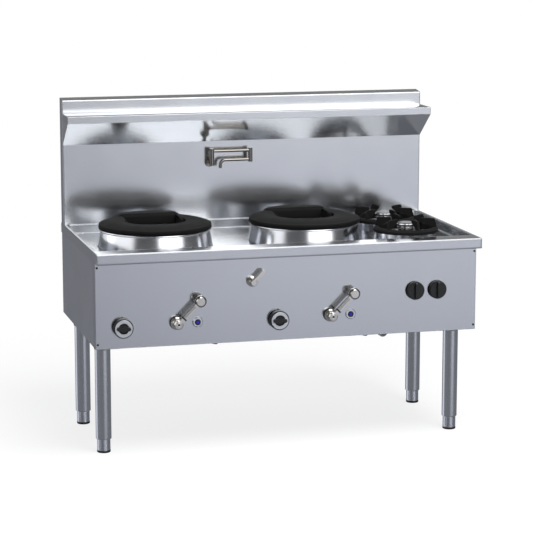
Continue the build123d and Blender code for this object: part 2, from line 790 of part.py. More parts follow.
def trivet(y):
    """Cast trivet: seating ring with upright fins that point at the burner."""
    top = trivet_seat + fin_top
    ring_top = trivet_seat + trivet_edge
    spigot_outer = spill_radius - hob_sheet - 2 * seam
    with BuildPart() as casting:
        with BuildSketch(standing(side_x, y)):
            Polygon((spigot_outer, trivet_seat), (trivet_radius, trivet_seat), (trivet_radius, ring_top - 7),
                    (trivet_radius - 8, ring_top), (trivet_bore + 4, ring_top), (trivet_bore, ring_top - 4),
                    (trivet_bore, trivet_seat - 8), (spigot_outer, trivet_seat - 8), align=None)
        revolve(axis=upright_axis(side_x, y))
        for count in range(trivet_fins):
            turn = math.radians(trivet_turn + count * 360 / trivet_fins)
            fin_plane = Plane(origin=(side_x, y, 0), x_dir=(math.cos(turn), math.sin(turn), 0),
                              z_dir=(math.sin(turn), -math.cos(turn), 0))
            with BuildSketch(fin_plane.offset(-fin_thickness / 2)):
                Polygon((fin_reach, ring_top - 10), (fin_reach, ring_top + 4), (fin_reach - 8, top - 3),
                        (fin_reach - 12, top), (fin_inner + 3, top), (fin_inner, top - 3),
                        (fin_inner, top - 12), (fin_inner + 12, top - 18), (trivet_bore - 10, ring_top + 2),
                        (trivet_bore + 4, ring_top - 10), align=None)
            extrude(amount=fin_thickness)
    return casting


def burner_cap(y):
    """Loose polished cap with a spigot in the burner's mouth."""
    with BuildPart() as cap:
        with BuildSketch(standing(side_x, y)):
            Polygon((0, cap_seat - cap_spigot), (cap_spigot_radius, cap_seat - cap_spigot),
                    (cap_spigot_radius, cap_seat), (cap_radius - 3, cap_seat), (cap_radius, cap_seat + 3),
                    (cap_radius, cap_seat + cap_height - 5), (cap_radius - 5, cap_seat + cap_height),
                    (0, cap_seat + cap_height), align=None)
        revolve(axis=upright_axis(side_x, y))
    return cap


# ================================================================ controls
def valve_bodies():
    """Brass gas cocks behind the panel, each with a shaft bore and a boss to the manifold, and the tap."""
    lower_boss = manifold_height - manifold_radius - valve_boss_gap
    upper_boss = manifold_height + manifold_radius + valve_boss_gap / 2
    valves = [(x - pilot_side, pilot_height, lower_boss) for x in wok_centres.values()]
    valves += [(x + lever_side, lever_height, lower_boss) for x in wok_centres.values()]
    valves += [(x, side_knob_height, upper_boss) for x in side_knob_x.values()]
    valves += [(spout_x, tap_height, tap_height + valve_radius + 8)]
    with BuildPart() as bodies:
        for x, z, boss_z in valves:
            with BuildSketch(lying(x, z)):
                Polygon((spindle_radius + spindle_fit, panel_back), (valve_radius - 3, panel_back),
                        (valve_radius, panel_back + 4), (valve_radius, valve_back - 8),
                        (valve_radius - 4, valve_back), (0, valve_back), (0, valve_back - 4),
                        (spindle_radius + spindle_fit, valve_back - 4), align=None)
            revolve(axis=level_axis(x, z))
            with BuildSketch(Plane.XY.offset(boss_z)):
                with Locations((x, manifold_y)):
                    Circle(valve_boss_radius)
            extrude(until=Until.NEXT, target=bodies.part, dir=(0, 0, 1 if boss_z < z else -1))
    return bodies


def igniter_bodies():
    """Steel bezels on the panel and the piezo housings behind it."""
    bore = button_radius + button_fit
    bore_end = panel_y - bezel_reach - button_stand + button_length + button_travel
    with BuildPart() as bodies:
        for wok_x in wok_centres.values():
            x = wok_x + button_side
            body_radius = button_radius + sheet + hole_clearance
            with BuildSketch(lying(x, button_height)):
                Polygon((bore, panel_y - bezel_reach), (bezel_radius - 3, panel_y - bezel_reach),
                        (bezel_radius, panel_y - 2), (bezel_radius, panel_y), (body_radius, panel_y),
                        (body_radius, bore_end + 3), (0, bore_end + 3), (0, bore_end), (bore, bore_end),
                        align=None)
            revolve(axis=level_axis(x, button_height))
    return bodies


def igniter_button(wok_x):
    """Push-button of the spark igniter."""
    x = wok_x + button_side
    tip = panel_y - bezel_reach - button_stand
    with BuildPart() as button:
        with BuildSketch(lying(x, button_height)):
            Polygon((0, tip), (button_radius - 1.5, tip), (button_radius, tip + 1.5),
                    (button_radius, tip + button_length), (0, tip + button_length), align=None)
        revolve(axis=level_axis(x, button_height))
    return button


def spindle(x, z, reach):
    """Valve shaft that slides in when its knob is pushed."""
    tip = panel_y - reach + 14
    tail = valve_back - 4 - spindle_push - 2
    with BuildPart() as shaft:
        with BuildSketch(lying(x, z)):
            Polygon((0, tip), (spindle_radius - 0.5, tip), (spindle_radius, tip + 0.5),
                    (spindle_radius, tail), (0, tail), align=None)
        revolve(axis=level_axis(x, z))
    return shaft


def pilot_knob(x):
    """Round knob with a skirt, a sunk centre disc and a bar grip."""
    back = panel_y - spindle_push - 2
    face = panel_y - pilot_knob_reach + knob_face
    front = panel_y - pilot_knob_reach
    bore_end = front + 14 - seam
    with BuildPart() as knob:
        with BuildSketch(lying(x, pilot_height)):
            Polygon((spindle_radius + spindle_fit, back), (pilot_knob_radius, back),
                    (pilot_knob_radius, face + 3), (pilot_knob_radius - 3, face), (20, face), (18, face + 2),
                    (0, face + 2), (0, bore_end), (spindle_radius + spindle_fit, bore_end), align=None)
        revolve(axis=level_axis(x, pilot_height))
        with BuildSketch(facing(face + 2)):
            with Locations((x, pilot_height)):
                SlotOverall(pilot_grip_length, pilot_grip_width)
        extrude(amount=face + 2 - front, taper=6)
        with BuildSketch(facing(bore_end + 10)):
            with Locations((x, pilot_height)):
                Circle(spindle_radius + spindle_fit)
        extrude(amount=10, mode=Mode.SUBTRACT)
    return knob


def side_knob(x):
    """Black knob with an upright grip ridge."""
    back = panel_y - spindle_push - 2
    face = panel_y - side_knob_reach + knob_face
    front = panel_y - side_knob_reach
    bore_end = front + 14 - seam
    with BuildPart() as knob:
        with BuildSketch(lying(x, side_knob_height)):
            Polygon((spindle_radius + spindle_fit, back), (side_knob_radius, back),
                    (side_knob_radius, back - 6), (side_knob_radius - 3, face), (0, face), (0, bore_end),
                    (spindle_radius + spindle_fit, bore_end), align=None)
        revolve(axis=level_axis(x, side_knob_height))
        with BuildSketch(facing(face + 1)):
            with Locations((x, side_knob_height)):
                SlotOverall(2 * side_knob_radius - 8, side_grip_width, rotation=90)
        extrude(amount=face + 1 - front, taper=8)
        with BuildSketch(facing(bore_end + 10)):
            with Locations((x, side_knob_height)):
                Circle(spindle_radius + spindle_fit)
        extrude(amount=10, mode=Mode.SUBTRACT)
    return knob


def arm_middle(x, z, start, length):
    """Middle of an arm that leaves (x, z) at the lever angle."""
    turn = math.radians(lever_angle)
    reach = (start + length) / 2
    return (x + reach * math.cos(turn), z + reach * math.sin(turn))


def gas_lever(wok_x):
    """Quarter-turn main gas lever: turned hub with its shaft, flat arm and round end knob."""
    x = wok_x + lever_side
    z = lever_height
    turn = math.radians(lever_angle)
    front = panel_y - lever_reach
    tail = valve_back - 6
    end = (x + lever_length * math.cos(turn), z + lever_length * math.sin(turn))
    with BuildPart() as lever:
        with BuildSketch(lying(x, z)):
            Polygon((0, front + 5), (4, front + 3), (lever_hub_radius - 10, front + 3),
                    (lever_hub_radius - 6, front + 7), (lever_hub_radius - 6, panel_y - 16),
                    (lever_hub_radius, panel_y - 12), (lever_hub_radius, panel_y - 2),
                    (spindle_radius, panel_y - 2), (spindle_radius, tail), (0, tail), align=None)
        revolve(axis=level_axis(x, z))
        with BuildSketch(facing(front + 22)):
            with Locations(arm_middle(x, z, 8, lever_length - 8)):
                Rectangle(lever_length - 16, lever_arm_width, rotation=lever_angle)
        extrude(amount=18)
        with BuildSketch(lying(end[0], end[1])):
            Polygon((0, front), (lever_knob_radius - 6, front), (lever_knob_radius, front + 5),
                    (lever_knob_radius, front + 20), (lever_knob_radius - 4, front + 25), (0, front + 25),
                    align=None)
        revolve(axis=level_axis(end[0], end[1]))
    return lever


def tap_handle():
    """Quarter-turn handle of the water tap with its shaft."""
    turn = math.radians(lever_angle)
    front = panel_y - tap_reach
    tail = valve_back - 6
    end = (spout_x + tap_length * math.cos(turn), tap_height + tap_length * math.sin(turn))
    with BuildPart() as handle:
        with BuildSketch(lying(spout_x, tap_height)):
            Polygon((0, front), (tap_hub_radius - 9, front), (tap_hub_radius - 7, front + 3),
                    (tap_hub_radius - 7, panel_y - 12), (tap_hub_radius, panel_y - 8),
                    (tap_hub_radius, panel_y - 1), (spindle_radius, panel_y - 1), (spindle_radius, tail),
                    (0, tail), align=None)
        revolve(axis=level_axis(spout_x, tap_height))
        with BuildSketch(facing(front + 16)):
            with Locations(arm_middle(spout_x, tap_height, 6, tap_length)):
                Rectangle(tap_length - 6, tap_handle_width, rotation=lever_angle)
            with Locations(end):
                Circle(tap_handle_width / 2)
        extrude(amount=12)
    return handle


# ================================================================ pipes
def gas_manifold():
    """Gas rail behind the panel with its stubs, supply pipe and threaded inlet at the back."""
    left_end = left_wok_x - pilot_side - 2 * manifold_radius
    right_end = side_knob_x["right"] + 2 * manifold_radius
    below = [(x - pilot_side, manifold_y) for x in wok_centres.values()]
    below += [(x + lever_side, manifold_y) for x in wok_centres.values()]
    above = [(x, manifold_y) for x in side_knob_x.values()]
    with BuildPart() as manifold:
        with BuildSketch(Plane.YZ.offset(left_end)):
            with Locations((manifold_y, manifold_height)):
                Circle(manifold_radius)
        extrude(amount=right_end - left_end)
        with BuildSketch(Plane.XY.offset(manifold_height - manifold_radius - valve_boss_gap)):
            with Locations(*below):
                Circle(valve_boss_radius - 1)
        extrude(amount=manifold_radius)
        with BuildSketch(Plane.XY.offset(manifold_height)):
            with Locations(*above):
                Circle(valve_boss_radius - 1)
        extrude(amount=manifold_radius + valve_boss_gap / 2)
        with BuildSketch(Plane.YZ.offset(left_end + manifold_wall)):
            with Locations((manifold_y, manifold_height)):
                Circle(manifold_radius - manifold_wall)
        extrude(amount=right_end - left_end - 2 * manifold_wall, mode=Mode.SUBTRACT)
        socket_y = inlet_y - socket_length
        add(bent_pipe([(gas_inlet_x, socket_y + thread_depth / 2 - 4, supply_height),
                       (gas_inlet_x, manifold_y, supply_height),
                       (gas_inlet_x, manifold_y, manifold_height - manifold_radius + 2)],
                      manifold_radius, manifold_wall, 2 * pipe_bend).part)
        with BuildSketch(facing(inlet_y)):
            with Locations((gas_inlet_x, supply_height)):
                RegularPolygon(socket_radius, 6)
        extrude(amount=socket_length)
        with BuildSketch(facing(inlet_y)):
            with Locations((gas_inlet_x, supply_height)):
                Circle(gas_thread_radius)
        extrude(amount=thread_depth, mode=Mode.SUBTRACT)
    return manifold


def burner_gas_pipes():
    """Pipes from the gas cocks to the injectors of all four burners."""
    back_run = valve_back + 38
    with BuildPart() as pipes:
        for x in wok_centres.values():
            valve_x = x + lever_side
            injector = (x + venturi_side, wok_y - venturi_front)
            add(bent_pipe([(valve_x, valve_back, lever_height), (valve_x, injector[1], lever_height),
                           (injector[0], injector[1], lever_height),
                           (injector[0], injector[1], venturi_height + venturi_radius + 4)],
                          gas_pipe_radius, pipe_wall, pipe_bend).part)
        for y, drop, side in side_burners.values():
            valve_x = side_x + side_knob_shift + side * side_knob_pitch / 2
            tube_z = deck_under - drop - mixer_radius
            drop_y = valve_back + 20
            add(bent_pipe([(valve_x, valve_back, side_knob_height), (valve_x, drop_y, side_knob_height),
                           (valve_x, drop_y, tube_z - mixer_radius - 4)],
                          gas_pipe_radius, pipe_wall, pipe_bend / 2).part)
    return pipes


def water_pipes():
    """Water supply to the tap, and the pipe from the tap up inside the splashback to the spout."""
    riser_y = back_y - splash_depth / 2
    tap_out = tap_height + valve_radius + 8
    with BuildPart() as pipes:
        add(bent_pipe([(water_inlet_x, inlet_y - thread_depth, supply_height),
                       (water_inlet_x, valve_back + water_riser, supply_height),
                       (water_inlet_x, valve_back + water_riser, tap_height),
                       (spout_x, valve_back + water_riser, tap_height), (spout_x, valve_back, tap_height)],
                      water_radius, pipe_wall, pipe_bend).part)
        with BuildSketch(facing(inlet_y)):
            with Locations((water_inlet_x, supply_height)):
                RegularPolygon(water_socket_radius, 6)
                Circle(water_thread_radius, mode=Mode.SUBTRACT)
        extrude(amount=thread_depth)
        add(bent_pipe([(spout_x, manifold_y, tap_out), (spout_x, manifold_y, tap_out + water_rise),
                       (spout_x, riser_y, tap_out + water_rise), (spout_x, riser_y, spout_height),
                       (spout_x, splash_y + sheet, spout_height)],
                      water_radius * 0.7, pipe_wall, pipe_bend * 0.7).part)
    return pipes


def drain_waste():
    """Deck drain with its strainer and the spigot under the cabinet."""
    with BuildPart() as drain:
        with BuildSketch(standing(left_wok_x, drain_y)):
            Polygon((drain_radius - drain_wall, drain_end_height), (drain_radius, drain_end_height),
                    (drain_radius, drain_end_height + drain_spigot),
                    (drain_radius + 5, drain_end_height + drain_spigot),
                    (drain_radius + 5, drain_end_height + drain_spigot + 16),
                    (drain_radius, drain_end_height + drain_spigot + 20), (drain_radius, deck_z),
                    (drain_flange, deck_z), (drain_flange - 2, deck_z + drain_wall),
                    (0, deck_z + drain_wall), (0, deck_z), (drain_radius - drain_wall, deck_z), align=None)
        revolve(axis=upright_axis(left_wok_x, drain_y))
        with BuildSketch(Plane.XY.offset(deck_z)):
            with Locations((left_wok_x, drain_y)):
                with PolarLocations(drain_radius / 2, 6):
                    Circle(3)
        extrude(amount=drain_wall, mode=Mode.SUBTRACT)
    return drain


# ================================================================ spout
def spout_flange_part():
    """Wall flange and elbow with the pin that the upper arm turns on."""
    boss_top = (spout_height + spout_upper_height) / 2
    pin_top = spout_upper_height + 4
    boss_foot = spout_height - spout_boss_radius
    with BuildPart() as elbow:
        with BuildSketch(lying(spout_x, spout_height)):
            Polygon((0, splash_y), (spout_flange_radius, splash_y),
                    (spout_flange_radius - 2, splash_y - spout_flange),
                    (spout_neck_radius, splash_y - spout_flange), (spout_neck_radius, swivel_y),
                    (0, swivel_y), align=None)
        revolve(axis=level_axis(spout_x, spout_height))
        with BuildSketch(standing(spout_x, swivel_y)):
            Polygon((0, boss_foot), (spout_boss_radius - 2, boss_foot),
                    (spout_boss_radius, boss_foot + 2), (spout_boss_radius, boss_top),
                    (spout_pin_radius, boss_top), (spout_pin_radius, pin_top), (0, pin_top), align=None)
        revolve(axis=upright_axis(spout_x, swivel_y))
    return elbow


def spout_upper_arm():
    """Upper spout arm: swivel boss on the wall elbow, tube, and the pin that carries the lower arm."""
    boss_base = (spout_height + spout_upper_height) / 2 + seam
    boss_top = spout_upper_height + spout_boss_radius
    elbow_base = (spout_upper_height + spout_lower_height) / 2
    bore = spout_pin_radius + spout_fit
    with BuildPart() as arm:
        with BuildSketch(standing(spout_x, swivel_y)):
            Polygon((bore, boss_base), (spout_boss_radius, boss_base), (spout_boss_radius, boss_top - 2),
                    (spout_boss_radius - 2, boss_top), (0, boss_top), (0, spout_upper_height + 5),
                    (bore, spout_upper_height + 5), align=None)
        revolve(axis=upright_axis(spout_x, swivel_y))
        with BuildSketch(Plane.YZ.offset(spout_x + spout_boss_radius - 2)):
            with Locations((swivel_y, spout_upper_height)):
                Circle(spout_tube_radius)
        extrude(amount=spout_upper_length - spout_boss_radius + 2)
        with BuildSketch(standing(elbow_x, swivel_y)):
            Polygon((0, spout_lower_height - 4), (spout_pin_radius, spout_lower_height - 4),
                    (spout_pin_radius, elbow_base), (spout_boss_radius - 1, elbow_base),
                    (spout_boss_radius - 1, boss_top - 2), (spout_boss_radius - 3, boss_top), (0, boss_top),
                    align=None)
        revolve(axis=upright_axis(elbow_x, swivel_y))
    return arm


def spout_lower_arm():
    """Lower spout arm with its down-turned nozzle, folded back under the upper arm."""
    boss_top = (spout_upper_height + spout_lower_height) / 2 - seam
    boss_base = spout_lower_height - spout_boss_radius
    bore = spout_pin_radius + spout_fit
    tip_x = elbow_x - spout_lower_length - spout_drop
    with BuildPart() as arm:
        with BuildSketch(standing(elbow_x, swivel_y)):
            Polygon((bore, boss_top), (spout_boss_radius - 1, boss_top),
                    (spout_boss_radius - 1, boss_base + 2),
                    (spout_boss_radius - 3, boss_base), (0, boss_base), (0, spout_lower_height - 5),
                    (bore, spout_lower_height - 5), align=None)
        revolve(axis=upright_axis(elbow_x, swivel_y))
        add(bent_pipe([(elbow_x - spout_boss_radius + 2, swivel_y, spout_lower_height),
                       (tip_x, swivel_y, spout_lower_height),
                       (tip_x, swivel_y, spout_lower_height - 1.6 * spout_drop)],
                      spout_tube_radius, pipe_wall, spout_drop).part)
    return arm


def build():
    """Make every piece and write its file."""
    os.makedirs("parts", exist_ok=True)
    save(hob_top(), "hob_top")
    save(front_panel(), "front_panel")
    save(panel_screws(), "panel_screws")
    for name, side in (("left", -1), ("right", 1)):
        save(side_panel(side), name + "_side_panel")
        save(leg_channel(side), name + "_leg_channel")
    save(rear_panel(), "rear_panel")
    save(burner_rails(), "burner_rails")
    save(splashback_front(), "splashback_front")
    save(splashback_back(), "splashback_back")
    save(shelf_tray(), "shelf_tray")
    save(shelf_underside(), "shelf_underside")
    for name, (x, y) in leg_places.items():
        save(leg(x, y), "leg_" + name)
        save(foot(x, y), "foot_" + name)
    with BuildPart() as pilot_sets:
        for x in wok_centres.values():
            add(pilot_set(x).part)
    save(pilot_sets, "pilot_sets")
    for name, x in wok_centres.items():
        save(wok_stand(x), name + "_wok_stand")
        save(wok_ring(x), name + "_wok_ring")
        save(fire_bowl(x), name + "_fire_bowl")
        save(wok_burner(x), name + "_wok_burner")
        save(igniter_button(x), name + "_igniter_button")
        save(spindle(x - pilot_side, pilot_height, pilot_knob_reach), name + "_pilot_spindle")
        save(pilot_knob(x - pilot_side), name + "_pilot_knob")
        save(gas_lever(x), name + "_gas_lever")
    for name, (y, drop, side) in side_burners.items():
        save(spill_ring(y), name + "_spill_ring")
        save(side_burner(y, drop, side), name + "_side_burner")
        save(trivet(y), name + "_trivet")
        save(burner_cap(y), name + "_burner_cap")
    for name, x in side_knob_x.items():
        save(spindle(x, side_knob_height, side_knob_reach), name + "_side_spindle")
        save(side_knob(x), name + "_side_knob")
    save(valve_bodies(), "valve_bodies")
    save(igniter_bodies(), "igniter_bodies")
    save(tap_handle(), "tap_handle")
    save(gas_manifold(), "gas_manifold")
    save(burner_gas_pipes(), "burner_gas_pipes")
    save(water_pipes(), "water_pipes")
    save(drain_waste(), "drain_waste")
    save(spout_flange_part(), "spout_flange")
    save(spout_upper_arm(), "spout_upper_arm")
    save(spout_lower_arm(), "spout_lower_arm")


build()
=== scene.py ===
"""Commercial wok range: finishes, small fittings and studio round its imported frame.

Everything is in the frame's own axes: +Z up, the wall at +Y, the cook at -Y. Sizes are millimetres and are
turned to metres where a mesh is made. Only the studio's own sizes are metres.
"""

import logging
import math
from dataclasses import dataclass
from enum import Enum

import bmesh
import bpy
from mathutils import Matrix, Vector


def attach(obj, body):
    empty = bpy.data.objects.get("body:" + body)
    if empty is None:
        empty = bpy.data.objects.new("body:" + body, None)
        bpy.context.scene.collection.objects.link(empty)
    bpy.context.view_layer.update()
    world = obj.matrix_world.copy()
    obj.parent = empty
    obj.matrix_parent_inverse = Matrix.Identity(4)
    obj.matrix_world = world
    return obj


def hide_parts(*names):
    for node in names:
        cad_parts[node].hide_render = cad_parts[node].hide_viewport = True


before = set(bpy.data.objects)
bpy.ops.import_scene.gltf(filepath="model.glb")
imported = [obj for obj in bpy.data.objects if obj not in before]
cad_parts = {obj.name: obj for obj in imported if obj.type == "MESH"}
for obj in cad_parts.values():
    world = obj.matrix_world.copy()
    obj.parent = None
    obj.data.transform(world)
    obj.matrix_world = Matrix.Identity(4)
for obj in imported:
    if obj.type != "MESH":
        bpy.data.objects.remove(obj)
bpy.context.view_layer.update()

# Short names for types that come back often: two or three sizes, a mesh being made, and material nodes.
Pair = tuple[float, float]
Point = tuple[float, float, float]
Mesh = bmesh.types.BMesh
Tree = bpy.types.NodeTree
Socket = bpy.types.NodeSocket

MM = 0.001
MERGE = 1e-6  # metres: corners closer than this are one
# Two noise patterns added together stay mostly between these values.
MIX_LOW, MIX_HIGH = 0.6, 1.4
WAVE_PITCH = 0.31416  # metres from one wave to the next in the wave texture, at a scale of 1
# Middles of the wok burners along the front, and their row from front to back.
WOK_PLACES: dict[str, float] = {"left": -450.0, "right": 150.0}
WOK_ROW = -12.0
SIDE_BURNER_ROWS: dict[str, float] = {"front": -152.0, "rear": 125.0}
# Controls of a wok burner: places from its middle, and heights over the floor.
PILOT_SIDE, LEVER_SIDE, BUTTON_SIDE = -197.0, 8.0, 90.0
PILOT_HEIGHT, LEVER_HEIGHT, BUTTON_HEIGHT = 510.0, 517.0, 516.0
DECK = 757.0  # height of the sunk deck
log = logging.getLogger("wok_range")


class Axis(Enum):
    """Direction that a turned piece points along."""

    UP = (0.0, 0.0, 1.0)
    BACK = (0.0, 1.0, 0.0)


class Grain(Enum):
    """Way that a surface was brushed: how much each axis squeezes the pattern."""

    ACROSS = (0.025, 1.0, 1.0)
    ALONG = (1.0, 0.025, 1.0)
    UPRIGHT = (1.0, 1.0, 0.025)
    EVEN = (1.0, 1.0, 1.0)


# ---------------------------------------------------------------- node helpers
def linear(code: str) -> tuple[float, float, float, float]:
    """Turn an sRGB hex colour into Blender's linear colour.

    Args:
        code: colour such as "#C5C8CF".

    Returns:
        Linear red, green, blue and an alpha of 1.
    """
    channels = [int(code[i : i + 2], 16) / 255 for i in (1, 3, 5)]
    spread = [c / 12.92 if c <= 0.04045 else ((c + 0.055) / 1.055) ** 2.4 for c in channels]
    return (spread[0], spread[1], spread[2], 1.0)


def add_node(
    tree: Tree,
    kind: str,
    settings: dict | None = None,
    links: dict | None = None,
) -> bpy.types.Node:
    """Add a node with its settings and links.

    Args:
        tree: node tree that gets the node.
        kind: Blender's type name, such as "ShaderNodeMath".
        settings: properties by name, or input values by socket name or index.
        links: input socket name or index to an output socket.

    Returns:
        The new node.
    """
    node = tree.nodes.new(kind)
    for key, value in (settings or {}).items():
        if isinstance(key, str) and hasattr(node, key):
            setattr(node, key, value)
        else:
            node.inputs[key].default_value = value
    for key, output in (links or {}).items():
        tree.links.new(output, node.inputs[key])
    return node


def empty_tree(owner: bpy.types.Material | bpy.types.World) -> Tree:
    """Switch a material or a world to nodes and clear them.

    Args:
        owner: material or world.

    Returns:
        Its empty node tree.
    """
    owner.use_nodes = True
    owner.node_tree.nodes.clear()
    return owner.node_tree


# ---------------------------------------------------------------- finishes
@dataclass(frozen=True)
class Finish:
    """What a surface is made of and how it was made.

    Attributes:
        name: common name of the material and its making.
        slot: the record's material slot; not used.
        colour: sRGB hex of the clean surface.
        metallic: 1 for bare metal, 0 for paint, plastic and casting skin.
        roughness: middle of the surface's roughness.
        grain: way of the brushing, or EVEN for a cast or moulded skin.
        grain_mm: size of the pattern across the grain.
        bump_mm: height of the pattern.
        rough_spread: how far the pattern moves the roughness.
        tone_spread: how far blotches and grain darken the colour.
        blotch_mm: size of the handling marks or casting blotches.
        edge_mm: radius of the bend or cast edge that catches the light.
        specular: specular level of a non-metal.
    """

    name: str
    slot: str
    colour: str
    metallic: float = 1.0
    roughness: float = 0.3
    grain: Grain = Grain.EVEN
    grain_mm: float = 2.0
    bump_mm: float = 0.0
    rough_spread: float = 0.03
    tone_spread: float = 0.04
    blotch_mm: float = 160.0
    edge_mm: float = 0.0
    specular: float = 0.5

    def pattern(self, tree: Tree, coords: Socket) -> Socket:
        """Make the fine pattern of the surface.

        Args:
            tree: the material's nodes.
            coords: Object coordinates in metres.

        Returns:
            Output between 0 and 1.
        """
        scale = tuple(s / (self.grain_mm * MM) for s in self.grain.value)
        stretch = add_node(tree, "ShaderNodeMapping", {"Scale": scale}, {"Vector": coords})
        noise = add_node(tree, "ShaderNodeTexNoise", {"Scale": 1.0, "Detail": 3.0, "Roughness": 0.6},
                         {"Vector": stretch.outputs["Vector"]})
        return noise.outputs["Fac"]

    def material(self) -> bpy.types.Material:
        """Build the node material, once for each finish.

        Returns:
            The material, found again by its name on later calls.
        """
        ready = bpy.data.materials.get(self.name)
        if ready is not None:
            return ready
        made = bpy.data.materials.new(self.name)
        tree = empty_tree(made)
        coords = add_node(tree, "ShaderNodeTexCoord").outputs["Object"]
        fine = self.pattern(tree, coords)
        blotch = add_node(tree, "ShaderNodeTexNoise",
                          {"Scale": 1.0 / (self.blotch_mm * MM), "Detail": 4.0, "Roughness": 0.55},
                          {"Vector": coords}).outputs["Fac"]
        mixed = add_node(tree, "ShaderNodeMath", {"operation": "ADD"}, {0: fine, 1: blotch}).outputs[0]
        shade = add_node(tree, "ShaderNodeMapRange",
                         {"From Min": MIX_LOW, "From Max": MIX_HIGH, "To Min": 0.0, "To Max": 1.0},
                         {"Value": mixed}).outputs["Result"]
        base = linear(self.colour)
        dark = tuple(c * (1 - self.tone_spread) for c in base[:3]) + (1.0,)
        light = tuple(min(1.0, c * (1 + self.tone_spread)) for c in base[:3]) + (1.0,)
        tint = add_node(tree, "ShaderNodeMix", {"data_type": "RGBA", 6: dark, 7: light}, {0: shade})
        rough = add_node(tree, "ShaderNodeMapRange",
                         {"From Min": MIX_LOW, "From Max": MIX_HIGH,
                          "To Min": self.roughness - self.rough_spread,
                          "To Max": self.roughness + self.rough_spread}, {"Value": mixed})
        shader = add_node(tree, "ShaderNodeBsdfPrincipled",
                          {"Metallic": self.metallic, "Specular IOR Level": self.specular},
                          {"Base Color": tint.outputs[2], "Roughness": rough.outputs["Result"]})
        normal = None
        if self.edge_mm:
            normal = add_node(tree, "ShaderNodeBevel", {"samples": 4, "Radius": self.edge_mm * MM}).outputs[0]
        if self.bump_mm:
            bump = add_node(tree, "ShaderNodeBump", {"Strength": 1.0, "Distance": self.bump_mm * MM},
                            {"Height": fine} | ({"Normal": normal} if normal else {}))
            normal = bump.outputs[0]
        if normal:
            tree.links.new(normal, shader.inputs["Normal"])
        add_node(tree, "ShaderNodeOutputMaterial", None, {"Surface": shader.outputs[0]})
        return made


@dataclass(frozen=True)
class Spangled(Finish):
    """Hot-dip zinc, whose crystals show as flat patches of different grey."""

    def pattern(self, tree: Tree, coords: Socket) -> Socket:
        """Make the crystal patches as Voronoi cells of the spangle's size."""
        cells = add_node(tree, "ShaderNodeTexVoronoi", {"Scale": 1.0 / (self.grain_mm * MM)},
                         {"Vector": coords})
        return cells.outputs["Distance"]


@dataclass(frozen=True)
class Threaded(Finish):
    """Turned metal with a fine thread round the upright axis, one groove every grain_mm."""

    def pattern(self, tree: Tree, coords: Socket) -> Socket:
        """Make level rings along Z, as a thread looks from the side.

        Args:
            tree: the material's nodes.
            coords: Object coordinates in metres.

        Returns:
            Output between 0 and 1.
        """
        scale = WAVE_PITCH / (self.grain_mm * MM)
        wave = add_node(tree, "ShaderNodeTexWave", {"bands_direction": "Z", "Scale": scale, "Distortion": 0.0},
                        {"Vector": coords})
        return wave.outputs["Fac"]


# Cold-rolled 304 sheet, brushed with a 180-grit belt: a soft satin mirror with fine level streaks. Real
# scratches are 0.1 mm apart; they are drawn 2.5 mm apart so that they show at all.
SHEET = Finish("Brushed stainless sheet, grain across", "stainless_brushed", "#C6C8CB", roughness=0.165,
               grain=Grain.ACROSS, grain_mm=2.5, rough_spread=0.02, tone_spread=0.02, edge_mm=3.0)
# The hob's heavier sheet: wider bends, which catch the overhead light as a bright line.
HOB_SHEET = Finish("Pressed stainless sheet, grain across", "stainless_brushed", "#C6C8CB", roughness=0.18,
                   grain=Grain.ACROSS, grain_mm=2.5, rough_spread=0.02, tone_spread=0.02, edge_mm=8.0)
# The same sheet with its grain running front to back, on the cabinet's ends.
SHEET_END = Finish("Brushed stainless sheet, grain front to back", "stainless_brushed", "#C3C5C8",
                   roughness=0.24, grain=Grain.ALONG, grain_mm=2.5, tone_spread=0.03, edge_mm=2.0)
# Shelf underside sheet, kept from scrubbing: clearer reflections than on the others. Its colour is lighter
# than the other sheets', painted light for the underside's brighter reflections.
SHEET_UNDERSIDE_LIT = Finish("Stainless sheet, underside lightened with painted light", "stainless_brushed", "#D6D7D8", roughness=0.15,
                      grain=Grain.ACROSS, grain_mm=4.0, tone_spread=0.02, edge_mm=1.0)
# Deep-drawn and buffed with mop and paste: a bright mirror whose reflections run soft at their edges.
POLISHED = Finish("Mop-polished stainless steel", "stainless_polished", "#D4D6DB", roughness=0.19,
                  grain_mm=3.0, rough_spread=0.03, tone_spread=0.02, edge_mm=0.8)
# Welded tube, linished along its length.
TUBE = Finish("Linished stainless tube", "stainless_tube", "#C6C8CB", roughness=0.22, grain=Grain.UPRIGHT,
              grain_mm=1.6, bump_mm=0.002, tone_spread=0.04)
# Foot sleeve with its adjusting thread; pitch drawn at 2 mm.
FOOT_THREAD = Threaded("Turned stainless foot thread", "stainless_tube", "#BFC2C9", roughness=0.26,
                       grain_mm=2.0, bump_mm=0.12, tone_spread=0.06)
# Nickel over a polished brass casting: warm, sharp reflections.
NICKEL = Finish("Nickel-plated brass casting", "nickel_plated", "#CFCCC6", roughness=0.17, grain_mm=1.5,
                rough_spread=0.05, edge_mm=0.8)
# Chromium plate over drawn brass, darker in colour than the nickel parts: painted shade for the spout's darker
# look. It turns nearly black where it faces the room's dark side.
SPOUT_PLATE_SHADED = Finish("Chromium plate on brass tube, painted shade", "nickel_plated", "#8A8680", roughness=0.2,
                     grain_mm=1.5, rough_spread=0.05, edge_mm=0.8)
# Sand-cast grey iron with a black stove finish: fine grit that dulls every highlight.
CASTING = Finish("Sand-cast iron, stove black", "cast_iron", "#141414", metallic=0.0, roughness=0.75,
                 grain_mm=2.2, bump_mm=0.22, rough_spread=0.08, tone_spread=0.18, blotch_mm=60.0, edge_mm=1.5,
                 specular=0.12)
# Burner iron, scaled brown-grey by the flame.
BURNER_IRON = Finish("Cast iron, heat scaled", "burner_iron", "#35302C", metallic=0.0, roughness=0.7,
                     grain_mm=2.5, bump_mm=0.3, rough_spread=0.1, tone_spread=0.25, blotch_mm=45.0)
